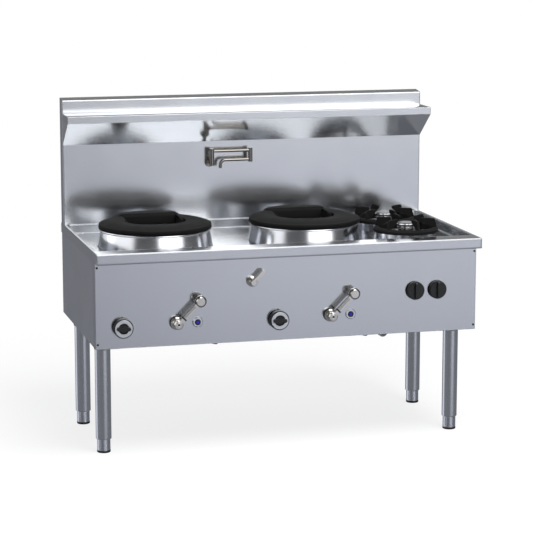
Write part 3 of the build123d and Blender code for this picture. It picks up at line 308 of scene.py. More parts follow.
# Spun aluminium, polished on the lathe.
CAP = Finish("Spun aluminium, polished", "cap_alloy", "#D2D3D5", roughness=0.16, grain_mm=1.5,
             rough_spread=0.04, edge_mm=0.8)
# Clear-anodised aluminium ring let into a knob's face.
KNOB_RING = Finish("Satin anodised aluminium", "cap_alloy", "#C9CBD0", roughness=0.34, grain_mm=0.8,
                   rough_spread=0.05)
# Hot-stamped and turned brass, slightly dull.
BRASS = Finish("Hot-stamped brass", "brass", "#B2925C", roughness=0.33, grain_mm=1.2, bump_mm=0.02,
               tone_spread=0.1, blotch_mm=30.0)
# Dipped steel pipe with 9 mm zinc spangle.
GALVANISED = Spangled("Hot-dip galvanised pipe", "galvanised_pipe", "#A3A7AA", roughness=0.45, grain_mm=9.0,
                      rough_spread=0.08, tone_spread=0.12)
# Drawn copper tube gone brown in places.
COPPER = Finish("Drawn copper tube", "copper_pipe", "#B8795A", roughness=0.3, grain_mm=6.0, rough_spread=0.08,
                tone_spread=0.18, blotch_mm=40.0)
# Moulded phenolic and black enamel: hard and black with an eggshell sheen.
BAKELITE = Finish("Moulded black phenolic", "black_plastic", "#151617", metallic=0.0, roughness=0.36,
                  specular=0.3, grain_mm=0.9, bump_mm=0.02, rough_spread=0.04, tone_spread=0.08,
                  blotch_mm=25.0, edge_mm=0.8)
# Moulded rubber pads and gaskets: matt, slightly dusty. The same black also stands in for shade: painted
# shadow under the hob's lip and at the wok stands' foot, and painted shade on the lever hubs and arms.
RUBBER_AND_SHADE = Finish("Moulded black rubber and painted shade", "black_plastic", "#131314", metallic=0.0, roughness=0.72,
                grain_mm=1.5, bump_mm=0.04, rough_spread=0.06, tone_spread=0.15, blotch_mm=20.0)
# Screen-printed mark on the panel; the same black paints the shade in the screw heads' cross recesses.
PRINT_AND_SHADE = Finish("Screen-printed black mark and painted recess shade", "black_plastic", "#232427", metallic=0.0, roughness=0.5,
               grain_mm=0.6, tone_spread=0.1, blotch_mm=5.0)
# Moulded push-button, deep blue.
BLUE = Finish("Moulded blue plastic", "blue_plastic", "#0A1AA6", metallic=0.0, roughness=0.2, grain_mm=0.8,
              rough_spread=0.03, tone_spread=0.06, blotch_mm=10.0, edge_mm=0.8)
# Oil-blacked steel screw.
SCREW = Finish("Oil-blacked steel", "black_screw", "#1A1A1C", metallic=0.4, roughness=0.4, grain_mm=0.8,
               bump_mm=0.02, tone_spread=0.12, blotch_mm=6.0)

NODE_FINISHES: dict[str, Finish] = {
    node: finish
    for finish, nodes in (
        (HOB_SHEET, "hob_top"),
        (SHEET, "front_panel rear_panel splashback_front splashback_back shelf_tray burner_rails"),
        (SHEET_UNDERSIDE_LIT, "shelf_underside"),
        (SHEET_END, "left_side_panel right_side_panel left_leg_channel right_leg_channel "
                    "left_fire_bowl right_fire_bowl"),
        (SCREW, "panel_screws"),
        (TUBE, "leg_front_left leg_front_right leg_rear_left leg_rear_right"),
        (FOOT_THREAD, "foot_front_left foot_front_right foot_rear_left foot_rear_right"),
        (POLISHED, "left_wok_stand right_wok_stand front_spill_ring rear_spill_ring"),
        (CASTING, "left_wok_ring right_wok_ring front_trivet rear_trivet"),
        (BURNER_IRON, "left_wok_burner right_wok_burner"),
        (CAP, "front_side_burner rear_side_burner front_burner_cap rear_burner_cap"),
        (BAKELITE, "left_pilot_knob right_pilot_knob left_side_knob right_side_knob drain_waste"),
        (BRASS, "pilot_sets valve_bodies left_pilot_spindle right_pilot_spindle "
                "left_side_spindle right_side_spindle"),
        (NICKEL, "left_gas_lever right_gas_lever tap_handle"),
        (BLUE, "left_igniter_button right_igniter_button"),
        (KNOB_RING, "igniter_bodies"),
        (GALVANISED, "gas_manifold"),
        (COPPER, "burner_gas_pipes water_pipes"),
        (SPOUT_PLATE_SHADED, "spout_flange spout_upper_arm spout_lower_arm"),
    )
    for node in nodes.split()
}


def dress_frame() -> None:
    """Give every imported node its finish, in its own material slots."""
    for name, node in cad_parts.items():
        made = NODE_FINISHES[name].material()
        if not node.material_slots:
            node.data.materials.append(made)
        for place in node.material_slots:
            place.material = made
        log.info("dressed %s in %s", name, made.name)


# ---------------------------------------------------------------- mesh helpers
def turned(profile: list[Pair], centre: Point, axis: Axis = Axis.UP,
           steps: int = 64) -> Mesh:
    """Spin a closed profile round an axis, as on a lathe.

    Args:
        profile: corners as (radius, distance along the axis) in millimetres, in order round the section.
        centre: point on the axis in millimetres that distances are measured from.
        axis: direction of the axis.
        steps: sides of the turned piece.

    Returns:
        A closed mesh in metres.
    """
    mesh = bmesh.new()
    along, out = Vector(axis.value), Vector((1.0, 0.0, 0.0))
    origin = Vector(centre) * MM
    corners = [mesh.verts.new(origin + out * r * MM + along * d * MM) for r, d in profile]
    edges = [mesh.edges.new((a, b)) for a, b in zip(corners, corners[1:] + corners[:1])]
    bmesh.ops.spin(mesh, geom=corners + edges, cent=origin, axis=along, angle=math.tau, steps=steps,
                   use_merge=True, use_duplicate=False)
    bmesh.ops.remove_doubles(mesh, verts=mesh.verts, dist=MERGE)
    bmesh.ops.dissolve_degenerate(mesh, edges=mesh.edges, dist=0.1 * MERGE)
    bmesh.ops.recalc_face_normals(mesh, faces=mesh.faces)
    return mesh


def block(size: Point, centre: Point, round_mm: float = 0.5,
          turn: Matrix | None = None) -> Mesh:
    """Make a bar with rounded edges.

    Args:
        size: length along X, Y and Z in millimetres.
        centre: middle of the bar in millimetres.
        round_mm: radius of its edges.
        turn: rotation about the bar's middle.

    Returns:
        A closed mesh in metres.
    """
    mesh = bmesh.new()
    bmesh.ops.create_cube(mesh, size=1.0)
    bmesh.ops.scale(mesh, vec=Vector(size) * MM, verts=mesh.verts)
    bmesh.ops.bevel(mesh, geom=mesh.edges[:], offset=round_mm * MM, affect="EDGES", segments=2, profile=0.5,
                    material=-1)
    place = Matrix.Translation(Vector(centre) * MM) @ (turn or Matrix.Identity(4))
    bmesh.ops.transform(mesh, matrix=place, verts=mesh.verts)
    return mesh


def hex_nut(across: float, thick: float, centre: Point) -> Mesh:
    """Make a six-sided union nut with chamfered corners, for a pipe that runs from front to back.

    Args:
        across: width across its corners in millimetres.
        thick: length along the pipe.
        centre: middle of the nut.

    Returns:
        A closed mesh in metres.
    """
    mesh = bmesh.new()
    chamfer = 0.03 * across
    bmesh.ops.create_cone(mesh, cap_ends=True, segments=6, radius1=across / 2 * MM, radius2=across / 2 * MM,
                          depth=thick * MM)
    bmesh.ops.bevel(mesh, geom=mesh.edges[:], offset=chamfer * MM, affect="EDGES", segments=2, profile=0.5,
                    material=-1)
    turn = Matrix.Rotation(-math.pi / 2, 4, "X")
    bmesh.ops.transform(mesh, matrix=Matrix.Translation(Vector(centre) * MM) @ turn, verts=mesh.verts)
    return mesh


def gather(parts: list[Mesh]) -> Mesh:
    """Join several closed meshes in one.

    Args:
        parts: meshes to join; each is freed.

    Returns:
        One mesh that holds them all.
    """
    whole = bmesh.new()
    for part in parts:
        holder = bpy.data.meshes.new("part")
        part.to_mesh(holder)
        whole.from_mesh(holder)
        bpy.data.meshes.remove(holder)
        part.free()
    return whole


def packed_copy(name: str) -> Mesh:
    """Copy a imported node's mesh and merge its loose triangles.

    Args:
        name: the node's name.

    Returns:
        The merged copy.
    """
    mesh = bmesh.new()
    mesh.from_mesh(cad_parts[name].data)
    bmesh.ops.remove_doubles(mesh, verts=mesh.verts, dist=MERGE)
    return mesh


def as_object(name: str, mesh: Mesh) -> bpy.types.Object:
    """Put a mesh in a new object of the scene.

    Args:
        name: the object's name.
        mesh: its mesh in metres; freed here.

    Returns:
        The object, at the origin.
    """
    data = bpy.data.meshes.new(name)
    mesh.to_mesh(data)
    mesh.free()
    made = bpy.data.objects.new(name, data)
    bpy.context.scene.collection.objects.link(made)
    return made


def cut_away(mesh: Mesh, tool: Mesh) -> Mesh:
    """Cut one closed mesh out of another.

    Args:
        mesh: closed mesh; freed here.
        tool: closed mesh of what is cut away; freed here.

    Returns:
        What is left, as a new mesh.
    """
    stock, cutter = as_object("stock", mesh), as_object("cutter", tool)
    change = stock.modifiers.new("cut", "BOOLEAN")
    change.operation = "DIFFERENCE"
    change.solver = "EXACT"
    change.object = cutter
    seen = stock.evaluated_get(bpy.context.evaluated_depsgraph_get())
    result = bmesh.new()
    result.from_mesh(seen.to_mesh())
    seen.to_mesh_clear()
    for item in (stock, cutter):
        spare = item.data
        bpy.data.objects.remove(item)
        bpy.data.meshes.remove(spare)
    return result


def piece(name: str, mesh: Mesh, body: str, finish: Finish, smooth: float = 32.0) -> bpy.types.Object:
    """Turn a mesh into a finished piece that rides on a body.

    Args:
        name: the piece's name.
        mesh: closed mesh in metres, in the frame's axes; freed here.
        body: body that carries it.
        finish: its finish.
        smooth: widest angle in degrees that is shaded round.

    Returns:
        The piece's object.
    """
    made = as_object(name, mesh)
    data = made.data
    data.shade_smooth()
    data.set_sharp_from_angle(angle=math.radians(smooth))
    data.materials.append(finish.material())
    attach(made, body)
    log.info("made %s on %s: %d faces", name, body, len(data.polygons))
    return made


# ---------------------------------------------------------------- legs
@dataclass
class FootFittings:
    """Rubber boots of the adjustable feet and weld rings where the legs meet their channels."""

    leg_half: float = 698.0
    rows: Pair = (-205.0, 248.0)
    leg_radius: float = 30.0
    leg_top: float = 405.0
    pad_radius: float = 25.2
    pad_height: float = 8.0
    sleeve_radius: float = 25.4

    def pad_section(self) -> list[Pair]:
        """Return the section of the rubber boot round a foot's pad."""
        r, h, sleeve = self.pad_radius, self.pad_height, self.sleeve_radius
        return [(r - 1.0, 0.3), (r - 0.35, 1.0), (r + 0.05, 2.5), (r + 0.05, h - 0.2), (sleeve + 0.06, h),
                (sleeve + 0.06, h + 1.2), (r + 0.6, h + 1.0), (r + 0.8, h - 0.4), (r + 0.8, 2.4),
                (r + 0.3, 1.1), (r - 0.5, 0.25)]

    def weld_section(self) -> list[Pair]:
        """Return the section of the weld round a leg's top."""
        r = self.leg_radius
        return [(r + 0.05, -3.2), (r + 1.5, -2.6), (r + 2.6, -1.5), (r + 3.2, -0.1), (r + 0.05, -0.1)]

    def build(self) -> None:
        """Make every boot and weld."""
        for row, y in zip(("front", "rear"), self.rows):
            for side, x in (("left", -self.leg_half), ("right", self.leg_half)):
                corner = f"{row}_{side}"
                boot = turned(self.pad_section(), (x, y, 0.0), steps=72)
                piece(f"foot_pad_{corner}", boot, f"foot_{corner}", RUBBER_AND_SHADE)
                weld = turned(self.weld_section(), (x, y, self.leg_top), steps=96)
                piece(f"leg_weld_{corner}", weld, "cabinet", TUBE, 60.0)


# ---------------------------------------------------------------- wok burners
@dataclass
class WokBurnerFittings:
    """Small parts of one wok burner: its flame jets and a black bead round the polished stand's foot, painted
    shadow of the gap between cone and deck.
    """

    side: str
    x: float
    y: float = WOK_ROW
    head_top: float = 599.0
    jet_circle: float = 55.0
    jets: int = 12
    cone_radius: float = 223.0

    def flame_jets(self) -> None:
        """Make the brass jets that stand in the burner head's ports."""
        parts = []
        for count in range(self.jets):
            turn = math.tau * count / self.jets
            spot = (self.x + self.jet_circle * math.cos(turn), self.y + self.jet_circle * math.sin(turn),
                    self.head_top)
            section = [(1.4, -3.0), (2.9, -3.0), (2.9, 0.1), (4.4, 0.1), (4.4, 1.6), (3.2, 4.2), (1.4, 4.2)]
            parts.append(turned(section, spot, steps=16))
        piece(f"{self.side}_flame_jets", gather(parts), "cabinet", BRASS)

    def cone_shadow_bead(self) -> None:
        """Make the thin black bead between cone and deck, painted shadow of the gap at the cone's foot."""
        r = self.cone_radius
        section = [(r - 0.2, 0.05), (r + 1.0, 0.05), (r + 0.7, 0.6), (r + 0.1, 1.1), (r - 0.3, 1.2)]
        piece(f"{self.side}_cone_shadow_line", turned(section, (self.x, self.y, DECK), steps=160), "cabinet", RUBBER_AND_SHADE)

    def build(self) -> None:
        """Make the burner's small parts."""
        self.flame_jets()
        self.cone_shadow_bead()


@dataclass
class WokRingCasting:
    """Wok ring as cast: a square throat under the crest joins the mouth and the flue behind it."""

    side: str
    x: float
    y: float = WOK_ROW
    crest: float = 858.3
    throat_half: float = 107.0
    throat_back: float = 119.5
    throat_foot: float = 822.0
    wall: float = 6.0
    cut_above: float = 4.0
    wall_below: float = 3.0
    back_gap: float = 0.05

    def throat_cut(self) -> Mesh:
        """Make the block that opens the dome between the mouth and the flue.

        Returns:
            A closed mesh in metres.
        """
        low, high = self.throat_foot, self.crest + self.cut_above
        depth = self.throat_back - self.back_gap
        size = (2 * self.throat_half, depth, high - low)
        return block(size, (self.x, self.y + depth / 2, (low + high) / 2), 0.4)

    def throat_walls(self) -> Mesh:
        """Make the back and side walls of the throat under the dome.

        Returns:
            Three closed walls in one mesh, in metres.
        """
        half, wall, back = self.throat_half, self.wall, self.throat_back
        top = self.crest - self.wall_below
        rise, middle = top - self.throat_foot, (top + self.throat_foot) / 2
        parts = [block((2 * half + 2 * wall, wall, rise), (self.x, self.y + back + wall / 2, middle), 0.8)]
        for sign in (-1, 1):
            spot = (self.x + sign * (half + wall / 2), self.y + back / 2, middle)
            parts.append(block((wall, back, rise), spot, 0.8))
        return gather(parts)

    def build(self) -> None:
        """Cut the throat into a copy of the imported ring, wall it and let the piece stand for the ring."""
        name = f"{self.side}_wok_ring"
        cut = cut_away(packed_copy(name), self.throat_cut())
        whole = gather([cut, self.throat_walls()])
        made = piece(f"{self.side}_ring_casting", whole, name, CASTING, 40.0)
        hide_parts(name)


# ---------------------------------------------------------------- splashback and shelf
@dataclass
class SplashbackSheets:
    """Folded top of the splashback and the level top of its shelf."""

    half: float = 748.0
    front: float = 340.0
    height: float = 1299.0
    top_fall: float = 6.5
    fold: float = 3.0
    shelf_front: float = 207.0
    shelf_top: float = 1242.0
    sheet: float = 1.5
    clearance: float = 0.05

    def folded_top(self) -> None:
        """Let the folded top fall towards the cook and round its folds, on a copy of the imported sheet."""
        name = "splashback_front"
        mesh = packed_copy(name)
        bmesh.ops.dissolve_limit(mesh, angle_limit=math.radians(1.0), verts=mesh.verts, edges=mesh.edges)
        front, top = self.front * MM, self.height * MM
        reach = 2.2 * self.sheet * MM  # takes in both faces of the folded sheet
        for vert in mesh.verts:
            if vert.co.z > top - reach and vert.co.y < front + reach:
                vert.co.z -= self.top_fall * MM
        half = self.half * MM
        near = 10 * MERGE
        folds = []  # the front face's three outer ones
        for edge in mesh.edges:
            a, b = (vert.co for vert in edge.verts)
            upright = abs(abs(a.x) - half) < near and abs(a.x - b.x) < near
            level = min(a.z, b.z) > top - 2 * self.top_fall * MM
            if max(a.y, b.y) <= front + near and (upright or level):
                folds.append(edge)
        bmesh.ops.bevel(mesh, geom=folds, offset=self.fold * MM, affect="EDGES", segments=3, profile=0.5,
                        material=-1)
        made = piece("splashback_sheet", mesh, "cabinet", SHEET, 10.0)
        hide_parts(name)

    def shelf_lid(self) -> None:
        """Lay the level sheet that closes the shelf's top."""
        sheet, gap = self.sheet, self.sheet + self.clearance
        depth = self.front - self.shelf_front - gap - self.clearance
        size = (2 * (self.half - gap), depth, sheet)
        centre = (0.0, self.shelf_front + gap + depth / 2, self.shelf_top - sheet / 2)
        piece("shelf_top_sheet", block(size, centre, 0.3), "cabinet", SHEET)

    def build(self) -> None:
        """Make both sheets."""
        self.folded_top()
        self.shelf_lid()


# ---------------------------------------------------------------- side burners
@dataclass
class SideBurnerFittings:
    """Slotted flame crown, enamelled cap top and sealing bead of one side burner."""

    row: str
    y: float
    x: float = 525.0
    top: float = 815.0
    radius: float = 28.0
    teeth: int = 28
    spill_radius: float = 120.0
    cap_radius: float = 36.0
    cap_top: float = 830.3

    def crown(self) -> None:
        """Make the toothed ring whose gaps let the flame out under the cap."""
        base = turned([(self.radius - 1.0, -9.0), (self.radius + 5.0, -9.0), (self.radius + 5.0, -6.0),
                       (self.radius - 1.0, -6.0)], (self.x, self.y, self.top), steps=84)
        parts = [base]
        for count in range(self.teeth):
            angle = math.tau * count / self.teeth
            reach = self.radius + 2.2
            spot = (self.x + reach * math.cos(angle), self.y + reach * math.sin(angle), self.top - 3.2)
            parts.append(block((5.4, 3.4, 6.0), spot, 0.4, Matrix.Rotation(angle, 4, "Z")))
        piece(f"{self.row}_flame_crown", gather(parts), "cabinet", CAP)

    def cap_enamel(self) -> None:
        """Make the black enamelled top of the cap."""
        r = self.cap_radius - 2.5
        section = [(0.0, -0.2), (r, -0.2), (r, 0.2), (r - 0.6, 0.7), (0.0, 0.7)]
        piece(f"{self.row}_cap_enamel", turned(section, (self.x, self.y, self.cap_top), steps=84),
              f"{self.row}_burner_cap", BAKELITE)

    def bead(self) -> None:
        """Make the bead of sealant round the spill ring's foot."""
        r = self.spill_radius
        section = [(r - 0.2, 0.05), (r + 1.0, 0.05), (r + 0.6, 0.6), (r - 0.2, 1.0)]
        piece(f"{self.row}_spill_seal", turned(section, (self.x, self.y, DECK), steps=128), "cabinet", RUBBER_AND_SHADE)

    def build(self) -> None:
        """Make the burner's small parts."""
        self.crown()
        self.cap_enamel()
        self.bead()


# ---------------------------------------------------------------- controls
@dataclass
class FrontControl:
    """What the controls on the front panel have in common.

    Attributes:
        side: wok burner that the control works.
        x: place along the panel.
    """

    side: str
    x: float
    panel: float = -345.0
    mark_radius: float = 1.9
    mark_height: float = 549.5

    def level_piece(self, label: str, section: list[Pair], place: Pair, body: str,
                    finish: Finish, steps: int = 72) -> None:
        """Turn a piece round the control's level axis.

        Args:
            label: the piece's name without its side.
            section: its profile, as radius and distance towards the back.
            place: distance from front to back and height of the profile's start.
            body: body that carries it, or "cabinet".
            finish: its finish.
            steps: sides of the turned piece.
        """
        spot = (self.x, *place)
        piece(f"{self.side}_{label}", turned(section, spot, Axis.BACK, steps), body, finish)

    def mark(self, label: str) -> None:
        """Print the small dot above the control.

        Args:
            label: the dot's name without its side.
        """
        r = self.mark_radius
        dot = [(0.0, 0.0), (r, 0.0), (r, -0.12), (0.0, -0.12)]
        self.level_piece(label, dot, (self.panel, self.mark_height), "cabinet", PRINT_AND_SHADE, 24)


@dataclass
class PilotControl(FrontControl):
    """Face ring of one pilot knob and the printed dot above it."""

    z: float = PILOT_HEIGHT
    face: float = -375.0
    ring_inner: float = 20.6
    ring_outer: float = 33.2

    def build(self) -> None:
        """Make the satin ring that is let into the knob's face, and the dot."""
        a, b = self.ring_inner, self.ring_outer
        section = [(a, 0.3), (a, -0.5), (a + 0.6, -0.9), (b - 0.6, -0.9), (b, -0.5), (b, 0.3)]
        self.level_piece("knob_ring", section, (self.face, self.z), f"{self.side}_pilot_knob", KNOB_RING, 96)
        self.mark("pilot_mark")


@dataclass
class LeverControl(FrontControl):
    """Black washer and skirt of painted shade, hub cap, collar, strips of painted shade along the arm and
    turned details of one main gas lever.
    """

    z: float = LEVER_HEIGHT
    reach: float = 52.0
    hub: float = 24.0
    bore: float = 5.0
    cap_back: float = 3.0
    length: float = 120.0
    angle: float = 45.0
    arm_width: float = 17.0
    arm_depth: float = 18.0
    arm_front: float = 4.0
    collar_at: float = 31.0
    collar_size: float = 6.0
    # Middle, size and places of the two black strips of painted shade along the arm's face.
    shade_line_middle: float = 64.0
    shade_line_size: Point = (58.0, 0.5, 1.5)
    shade_line_places: Pair = (1.5, 6.0)
    knob: float = 21.0

    @property
    def body(self) -> str:
        """Name of the lever's body."""
        return f"{self.side}_gas_lever"

    def along(self, distance: float, aside: float, y: float) -> Point:
        """Find a place on the lever.

        Args:
            distance: distance along the arm from the hub's axis.
            aside: distance across the arm, upwards to the left.
            y: distance from front to back.

        Returns:
            The place in the frame, in millimetres.
        """
        turn = math.radians(self.angle)
        return (self.x + distance * math.cos(turn) - aside * math.sin(turn), y,
                self.z + distance * math.sin(turn) + aside * math.cos(turn))

    def hub_shade_rings(self) -> None:
        """Make the black washer behind the hub and the black skirt round its base: painted shade for the dark
        flank of the hub.
        """
        bore, r = self.bore, self.hub
        washer = [(bore, -0.1), (r + 1.5, -0.1), (r + 1.5, -1.2), (r + 0.5, -1.8), (bore, -1.8)]
        self.level_piece("lever_shade_washer", washer, (self.panel, self.z), "cabinet", RUBBER_AND_SHADE)
        # The black skirt paints the hub flank's dark reflection.
        skirt = [(r - 0.4, -2.3), (r + 0.7, -2.3), (r + 0.7, -10.6), (r - 0.4, -11.4)]
        self.level_piece("lever_shade_skirt", skirt, (self.panel, self.z), self.body, RUBBER_AND_SHADE)

    def hub_cap(self) -> None:
        """Make the stepped cap on the hub and the screw in its middle."""
        front = self.panel - self.reach + self.cap_back
        cap = [(4.2, 1.0), (4.2, -0.8), (5.0, -1.6), (9.0, -1.6), (10.2, -0.6), (10.2, 1.0)]
        self.level_piece("hub_cap", cap, (front, self.z), self.body, NICKEL, 64)
        screw = [(0.0, 0.6), (4.0, 0.6), (4.0, -0.4), (0.0, -0.4)]
        self.level_piece("hub_screw", screw, (front, self.z), self.body, SCREW, 32)

    def arm_collar_and_shade_lines(self) -> None:
        """Make the black collar at the arm's root and two black strips along its face, painted shade for its
        scored lines.
        """
        tilt = Matrix.Rotation(-math.radians(self.angle), 4, "Y")
        face = self.panel - self.reach + self.arm_front
        middle = face + self.arm_depth / 2
        size = (self.collar_size, self.arm_depth + 0.8, self.arm_width + 0.8)
        parts = [block(size, self.along(self.collar_at, 0.0, middle), 0.3, tilt)]
        # Two black strips paint the shade in the arm's scored lines.
        for aside in self.shade_line_places:
            parts.append(block(self.shade_line_size, self.along(self.shade_line_middle, aside, face), 0.1, tilt))
        piece(f"{self.side}_arm_collar_and_shade_lines", gather(parts), self.body, RUBBER_AND_SHADE)

    def grip_rings(self) -> None:
        """Make the two turned rings and the dark edge of the end knob."""
        spot = self.along(self.length, 0.0, self.panel - self.reach)
        r = self.knob
        rings = [(r - 0.5, 8.0), (r + 0.6, 8.6), (r + 0.6, 10.0), (r - 0.4, 10.6), (r - 0.4, 14.4),
                 (r + 0.6, 15.0), (r + 0.6, 16.4), (r - 0.5, 17.0)]
        piece(f"{self.side}_grip_rings", turned(rings, spot, Axis.BACK, 72), self.body, NICKEL)
        edge = [(r - 2.4, 2.8), (r + 0.5, 5.2), (r + 0.5, 7.2), (r - 0.5, 7.2)]
        piece(f"{self.side}_grip_edge", turned(edge, spot, Axis.BACK, 72), self.body, RUBBER_AND_SHADE)

    def build(self) -> None:
        """Make the lever's small parts."""
        self.hub_shade_rings()
        self.hub_cap()
        self.arm_collar_and_shade_lines()
        self.grip_rings()
        self.mark("lever_mark")


@dataclass
class IgniterControl(FrontControl):
    """Rubber boot round one igniter button and the black rim of its face."""

    z: float = BUTTON_HEIGHT
    bezel_face: float = -350.0
    button_face: float = -353.0
    button: float = 9.0

    def build(self) -> None:
        """Make the boot that seals the button in its bezel, and the rim."""
        r = self.button
        boot = [(r + 0.15, 0.2), (r + 2.6, 0.2), (r + 2.6, -0.5), (r + 1.4, -1.3), (r + 0.15, -1.3)]
        self.level_piece("button_boot", boot, (self.bezel_face, self.z), "cabinet", RUBBER_AND_SHADE, 56)
        rim = [(r - 2.7, 0.2), (r, 0.2), (r, -0.5), (r - 0.8, -1.2), (r - 2.2, -1.2), (r - 2.7, -0.6)]
        body = f"{self.side}_igniter_button"
        self.level_piece("button_rim", rim, (self.button_face, self.z), body, RUBBER_AND_SHADE, 56)


@dataclass
class PanelFasteners:
    """Black crosses in the front panel's screw heads, painted shade of their recesses, and a black strip under
    the hob's lip, painted shadow of its edge.
    """

    half: float = 740.2
    heights: Pair = (448.0, 738.0)
    head_face: float = -347.5
    cross: float = 3.6
    slot: float = 0.7
    # Size and place of the black strip that paints the shadow under the lip.
    shadow_strip_size: Point = (1498.6, 1.9, 1.2)
    shadow_strip_place: Point = (0.0, -398.95, 757.85)

    def build(self) -> None:
        """Make the strip of painted shadow, then the crosses of painted recess shade in the screws' heads."""
        piece("lip_shadow_strip", block(self.shadow_strip_size, self.shadow_strip_place, 0.1), "cabinet", RUBBER_AND_SHADE)
        parts = []
        # Black crosses paint the shade inside the screws' recesses.
        for x in (-self.half, self.half):
            for z in self.heights:
                for width, rise in ((self.cross, self.slot), (self.slot, self.cross)):
                    parts.append(block((width, 0.3, rise), (x, self.head_face, z), 0.1))
        piece("screw_recess_shade", gather(parts), "cabinet", PRINT_AND_SHADE)


@dataclass
class UnionNuts:
    """Union nuts of the gas and water pipes at their valves, and of the spout at its flange."""

    valve_back: float = -301.5
    flange_front: float = 324.5
    side_cocks: tuple[Pair, ...] = ((499.0, 595.0), (589.0, 595.0))
    tap: Pair = (-150.0, 662.0)
    spout: Pair = (-150.0, 1030.0)

    def build(self) -> None:
        """Make the nuts, one piece for each kind of pipe."""
        levers = tuple((x + LEVER_SIDE, LEVER_HEIGHT) for x in WOK_PLACES.values())
        pilots = tuple((x + PILOT_SIDE, PILOT_HEIGHT) for x in WOK_PLACES.values())
        for name, across, thick, front, places, finish in (
            ("gas_union_nuts", 24.0, 12.0, self.valve_back, levers + self.side_cocks, BRASS),
            ("pilot_union_nuts", 13.0, 9.0, self.valve_back, pilots, BRASS),
            ("water_union_nut", 33.0, 14.0, self.valve_back, (self.tap,), BRASS),
            ("spout_flange_nut", 26.0, 7.0, self.flange_front, (self.spout,), NICKEL),
        ):
            nuts = [hex_nut(across, thick, (x, front + thick / 2, z)) for x, z in places]
            piece(name, gather(nuts), "cabinet", finish, 20.0)


# ---------------------------------------------------------------- studio
@dataclass(frozen=True)
class SoftPanel:
    """One soft light panel of the studio wall, seen only in reflections.

    Attributes:
        azimuth: degrees from the front, towards the right.
        half_width: half its width in degrees.
        fade: width of its soft edge in degrees.
        height: sine of its middle's elevation.
        half_height: half its height, as a sine.
        height_fade: soft edge above and below, as a sine.
        strength: brightness added to the wall.
    """

    azimuth: float
    half_width: float
    fade: float
    height: float
    half_height: float
    height_fade: float
    strength: float


